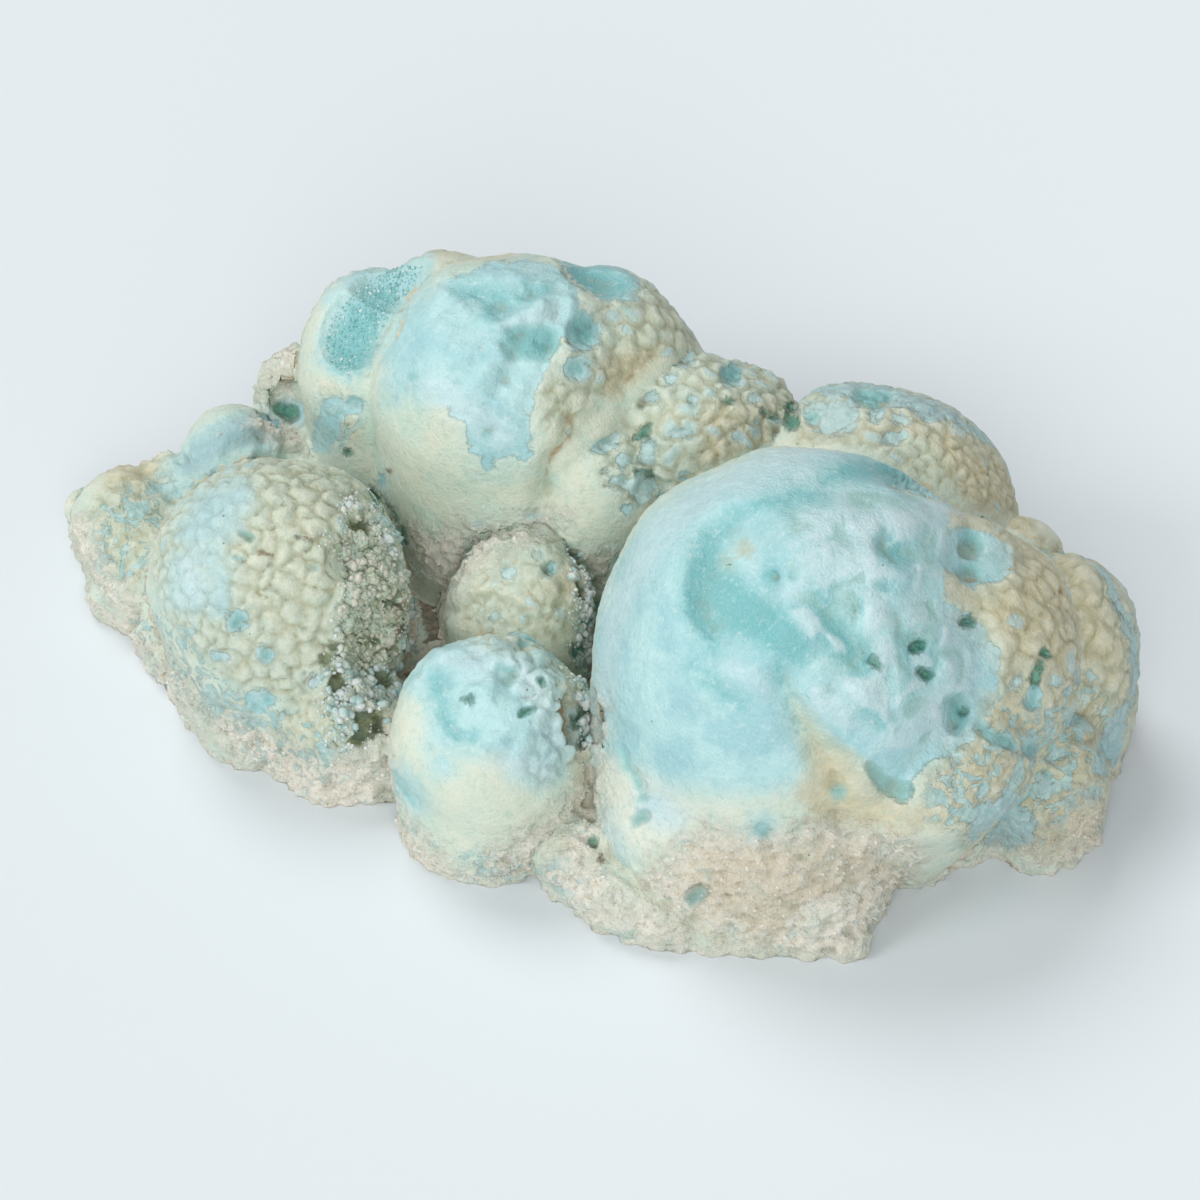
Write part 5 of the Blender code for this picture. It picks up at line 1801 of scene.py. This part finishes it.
# %% Wear the rind through, lace it and lay the chalk over both
GROOVE_KEEPS = -0.7
WORN_WANDER = 0.75
worn = broken(graph.times_add(grooves, GROOVE_KEEPS, graph.layer("blue")), WORN_WANDER,
              graph.times_add(soft, 2.4, 0.24))
worn = graph.math("MAXIMUM", worn, graph.times(mask("pebble_top", 0.25, 0.4), 0.8))
near_blue = graph.times(mask("blue", 1.2, 2.5, 1.0), graph.times_add(soft, 0.35, 0.25))
torn = graph.noise(place, 3.0, 5.0, 0.62, 0.9)
laced = graph.times(graph.ramp(torn, 0.515, 0.535), mask("lace", 1.6, 1.6))
chalk = mask("chalk", 2.2, 2.6)
chalk_look = graph.group(chalk_tree, {"Place": place})
# Painted light: chalk deep in hollows is made lighter to lift its shade
white = graph.layered(chalk_look["Color"],
                      (graph.layer("hollow"), 0.1, 0.9, 0.8, (272, 266, 250)),
                      (mask("tan", 2.6, 2.0), 0.4, (216, 200, 164)))
colour = graph.layered(
    rind,
    (near_blue, blue),
    (worn, graph.times_add(pebbly, -0.15, 0.96), blue),
    (laced, 0.85, graph.shade(mottle, 0.4, 0.62, (158, 200, 200), (190, 222, 218))),
    (chalk, graph.times_add(laced, -0.55, 0.94), white))

# %% Colour pit floors, stains, holes and soil
hole = mask("hole", 0.6, 0.55)
stained = graph.times(mask("crease", 0.3, 0.3), graph.ramp(curve, 0.0, 0.06, 0.8, 0.1))
gap = graph.ramp(graph.layer("gap"), 0.25, 0.75)
specks = graph.group(speck_tree, {"Place": place, "Size": 4.2, "Share": 0.2, "Radius": 0.15})["Mask"]
# Teal floors, their deeper middles, painted shade in fine creases, brown stains, painted shade in the gaps between
# crumbs, holes, olive holes darkened by painted shade, soil with painted shade, specks and grain
colour = graph.layered(
    colour,
    (mask("teal", 0.3, 0.7), 0.7, (128, 194, 192)),
    (mask("teal", 0.25, 0.5, -0.9), 0.5, (92, 168, 168)),
    # Painted shade: the more concave the skin, the darker
    (curve, 0.03, 0.14, 0.4, (160, 158, 124)),
    (stained, (178, 150, 106)),
    # Painted shade: dark olive in the gaps between crumbs
    (gap, 0.8, graph.shade(patch, 0.42, 0.6, (126, 134, 84), (66, 96, 62))),
    (hole, 0.9, graph.shade(mottle, 0.42, 0.6, (112, 184, 162), (62, 146, 126))),
    # Olive holes among the crumbs, darkened as painted shade of holes that have no depth in the mesh
    (mask("olive", 0.9, 0.6), 0.85,
     graph.shade(mottle, 0.4, 0.6, (120, 128, 84), (74, 92, 54))),
    # Soil, dark brown in the deepest gaps, where it is also painted shade
    (mask("soil_and_shade", 0.7, 0.4), 0.85,
     graph.shade(mottle, 0.4, 0.6, (92, 76, 58), (150, 130, 100))),
    (specks, 0.7, (60, 56, 50)),
    (graph.ramp(grain, 0.25, 0.6, 0.0, 0.14), (150, 158, 146)))

# %% [markdown]
# ## Gloss and the finest relief
# Worn blue shines more than the rind, and chalk doesn't shine. The finest relief is under a tenth of a
# millimetre, too small for the mesh, so it is a Bump node, fed with a height in millimetres. A little light
# travels under the surface, which softens the shadows as in wax.

# %% Finish the stone's shader
IOR = 1.53
GLOW = {"Subsurface Weight": 0.15, "Subsurface Radius": (1.0, 1.1, 1.15)}
STONE_GLOW, LUMP_GLOW = 1.6, 0.8


def finish(graph, colour, height, rough, glow):
    """The shader and the output, with the height in mm as relief and light carried so many mm."""
    bump = graph.add("ShaderNodeBump", {"Height": height, "Strength": 1.0, "Distance": MM})
    shader = graph.add("ShaderNodeBsdfPrincipled", {
        "Base Color": colour, "Roughness": rough, "Normal": bump.outputs["Normal"], "IOR": IOR,
        "Subsurface Scale": glow * MM, **GLOW})
    graph.add("ShaderNodeOutputMaterial", {"Surface": shader.outputs["BSDF"]})


rough = graph.times_add(worn, -0.14, 0.54)
rough = graph.times_add(chalk, 0.36, rough, clamp=True)
rough = graph.times_add(graph.math("SUBTRACT", grain, 0.5), 0.25, rough, clamp=True)
height = graph.times(graph.math("MAXIMUM", worn, laced), -0.16)
for effect, amount in ((grain, 0.10), (fine, 0.14), (mottle, 0.22), (chalk_look["Height"], chalk), (hole, -0.5)):
    height = graph.times_add(effect, amount, height)
finish(graph, colour, height, rough, STONE_GLOW)
print("stone material:", len(stone.node_tree.nodes), "nodes")

# %% [markdown]
# ## Materials for the small lumps
# Grains, crumbs and crystals are stone too, so they share its shader. Each lump has a tone of its own stored
# on its points, which keeps a heap of them from looking like one grey mass.

# %% Materials for grains, crumbs and crystals
chalk_crust, graph, place = new_material("chalk_crust")
look = graph.group(chalk_tree, {"Place": place})
tone = graph.layer("tone")
colour = graph.layered(look["Color"], (tone, 0.5, 1.0, 0.4, (250, 246, 236)),
                       (tone, 0.22, 0.0, 0.5, (190, 214, 202)))
finish(graph, colour, look["Height"], 0.85, LUMP_GLOW)

sugary_crumbs, graph, place = new_material("sugary_crumbs")
tone = graph.layer("tone")
fleck = graph.noise(place, 0.7, 4.0, 0.65)
grain = graph.group(grain_tree, {"Place": place, "Size": 0.3})["Value"]
field = graph.times_add(tone, 0.22, graph.noise(place, 2.4, 3.0, 0.55))
depth = graph.times_add(tone, 0.16, graph.noise(place, 3.4, 3.0, 0.55, 0.4))
colour = graph.layered(
    graph.shade(field, 0.52, 0.72, (232, 240, 238), (184, 218, 216)),
    (graph.layer("cream"), 0.75,
     graph.shade(field, 0.5, 0.72, (228, 222, 198), (176, 178, 138))),
    (depth, 0.70, 0.80, 0.7, (140, 168, 136)),
    (fleck, 0.5, 0.66, 0.6, (248, 248, 242)),
    (fleck, 0.46, 0.34, 0.4, (172, 190, 168)))
finish(graph, colour, graph.times_add(grain, 0.12, graph.times(fleck, 0.3)), 0.5, LUMP_GLOW)

scoop_crystals, graph, place = new_material("scoop_crystals")
tone = graph.layer("tone")
fleck = graph.noise(place, 0.5, 4.0, 0.65)
colour = graph.layered(
    graph.shade(tone, 0.45, 0.75, (128, 192, 190), (160, 214, 210)),
    (tone, 0.84, 0.9, 1.0, (222, 240, 238)),
    (fleck, 0.5, 0.66, 0.5, (190, 226, 222)))
finish(graph, colour, graph.times(fleck, 0.2), 0.3, LUMP_GLOW)
print("materials", [material.name for material in bpy.data.materials])

# %% [markdown]
# ## The pieces
# The skin was worked on in millimetres, so it is scaled to metres now. The cut can leave a scrap of a few
# faces beside the stone, which is dropped. All five pieces ride on the one body and stand for the one packed
# stone.

# %% Put the pieces in the scene


def drop_scraps(data):
    """Removes every island of the mesh but the largest."""
    shape = bmesh.new()
    shape.from_mesh(data)
    left, islands = set(shape.verts), []
    while left:
        reached, island = [left.pop()], []
        while reached:
            corner = reached.pop()
            island.append(corner)
            near = [edge.other_vert(corner) for edge in corner.link_edges]
            reached += [other for other in near if other in left]
            left.difference_update(near)
        islands.append(island)
    islands.sort(key=len)
    scraps = [corner for island in islands[:-1] for corner in island]
    bmesh.ops.delete(shape, geom=scraps, context="VERTS")
    shape.to_mesh(data)
    shape.free()
    print("dropped", len(scraps), "corners of", len(islands) - 1, "scraps")


def place_piece(name, data, material):
    """The mesh as a piece that stays on the stone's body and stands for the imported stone."""
    data.materials.clear()
    data.materials.append(material)
    piece = bpy.data.objects.new(name, data)
    bpy.context.scene.collection.objects.link(piece)
    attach(piece, "root")
    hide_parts("aragonite")


drop_scraps(skin)
skin.transform(Matrix.Scale(MM, 4))
skin.shade_smooth()
place_piece("stone", skin, stone)
place_piece("chalk_grains", lumps["chalk_grains"], chalk_crust)
place_piece("crumbs", lumps["crumbs"], sugary_crumbs)
place_piece("fine_crumbs", lumps["fine_crumbs"], sugary_crumbs)
place_piece("crystals", lumps["crystals"], scoop_crystals)
print("five pieces ride the root")
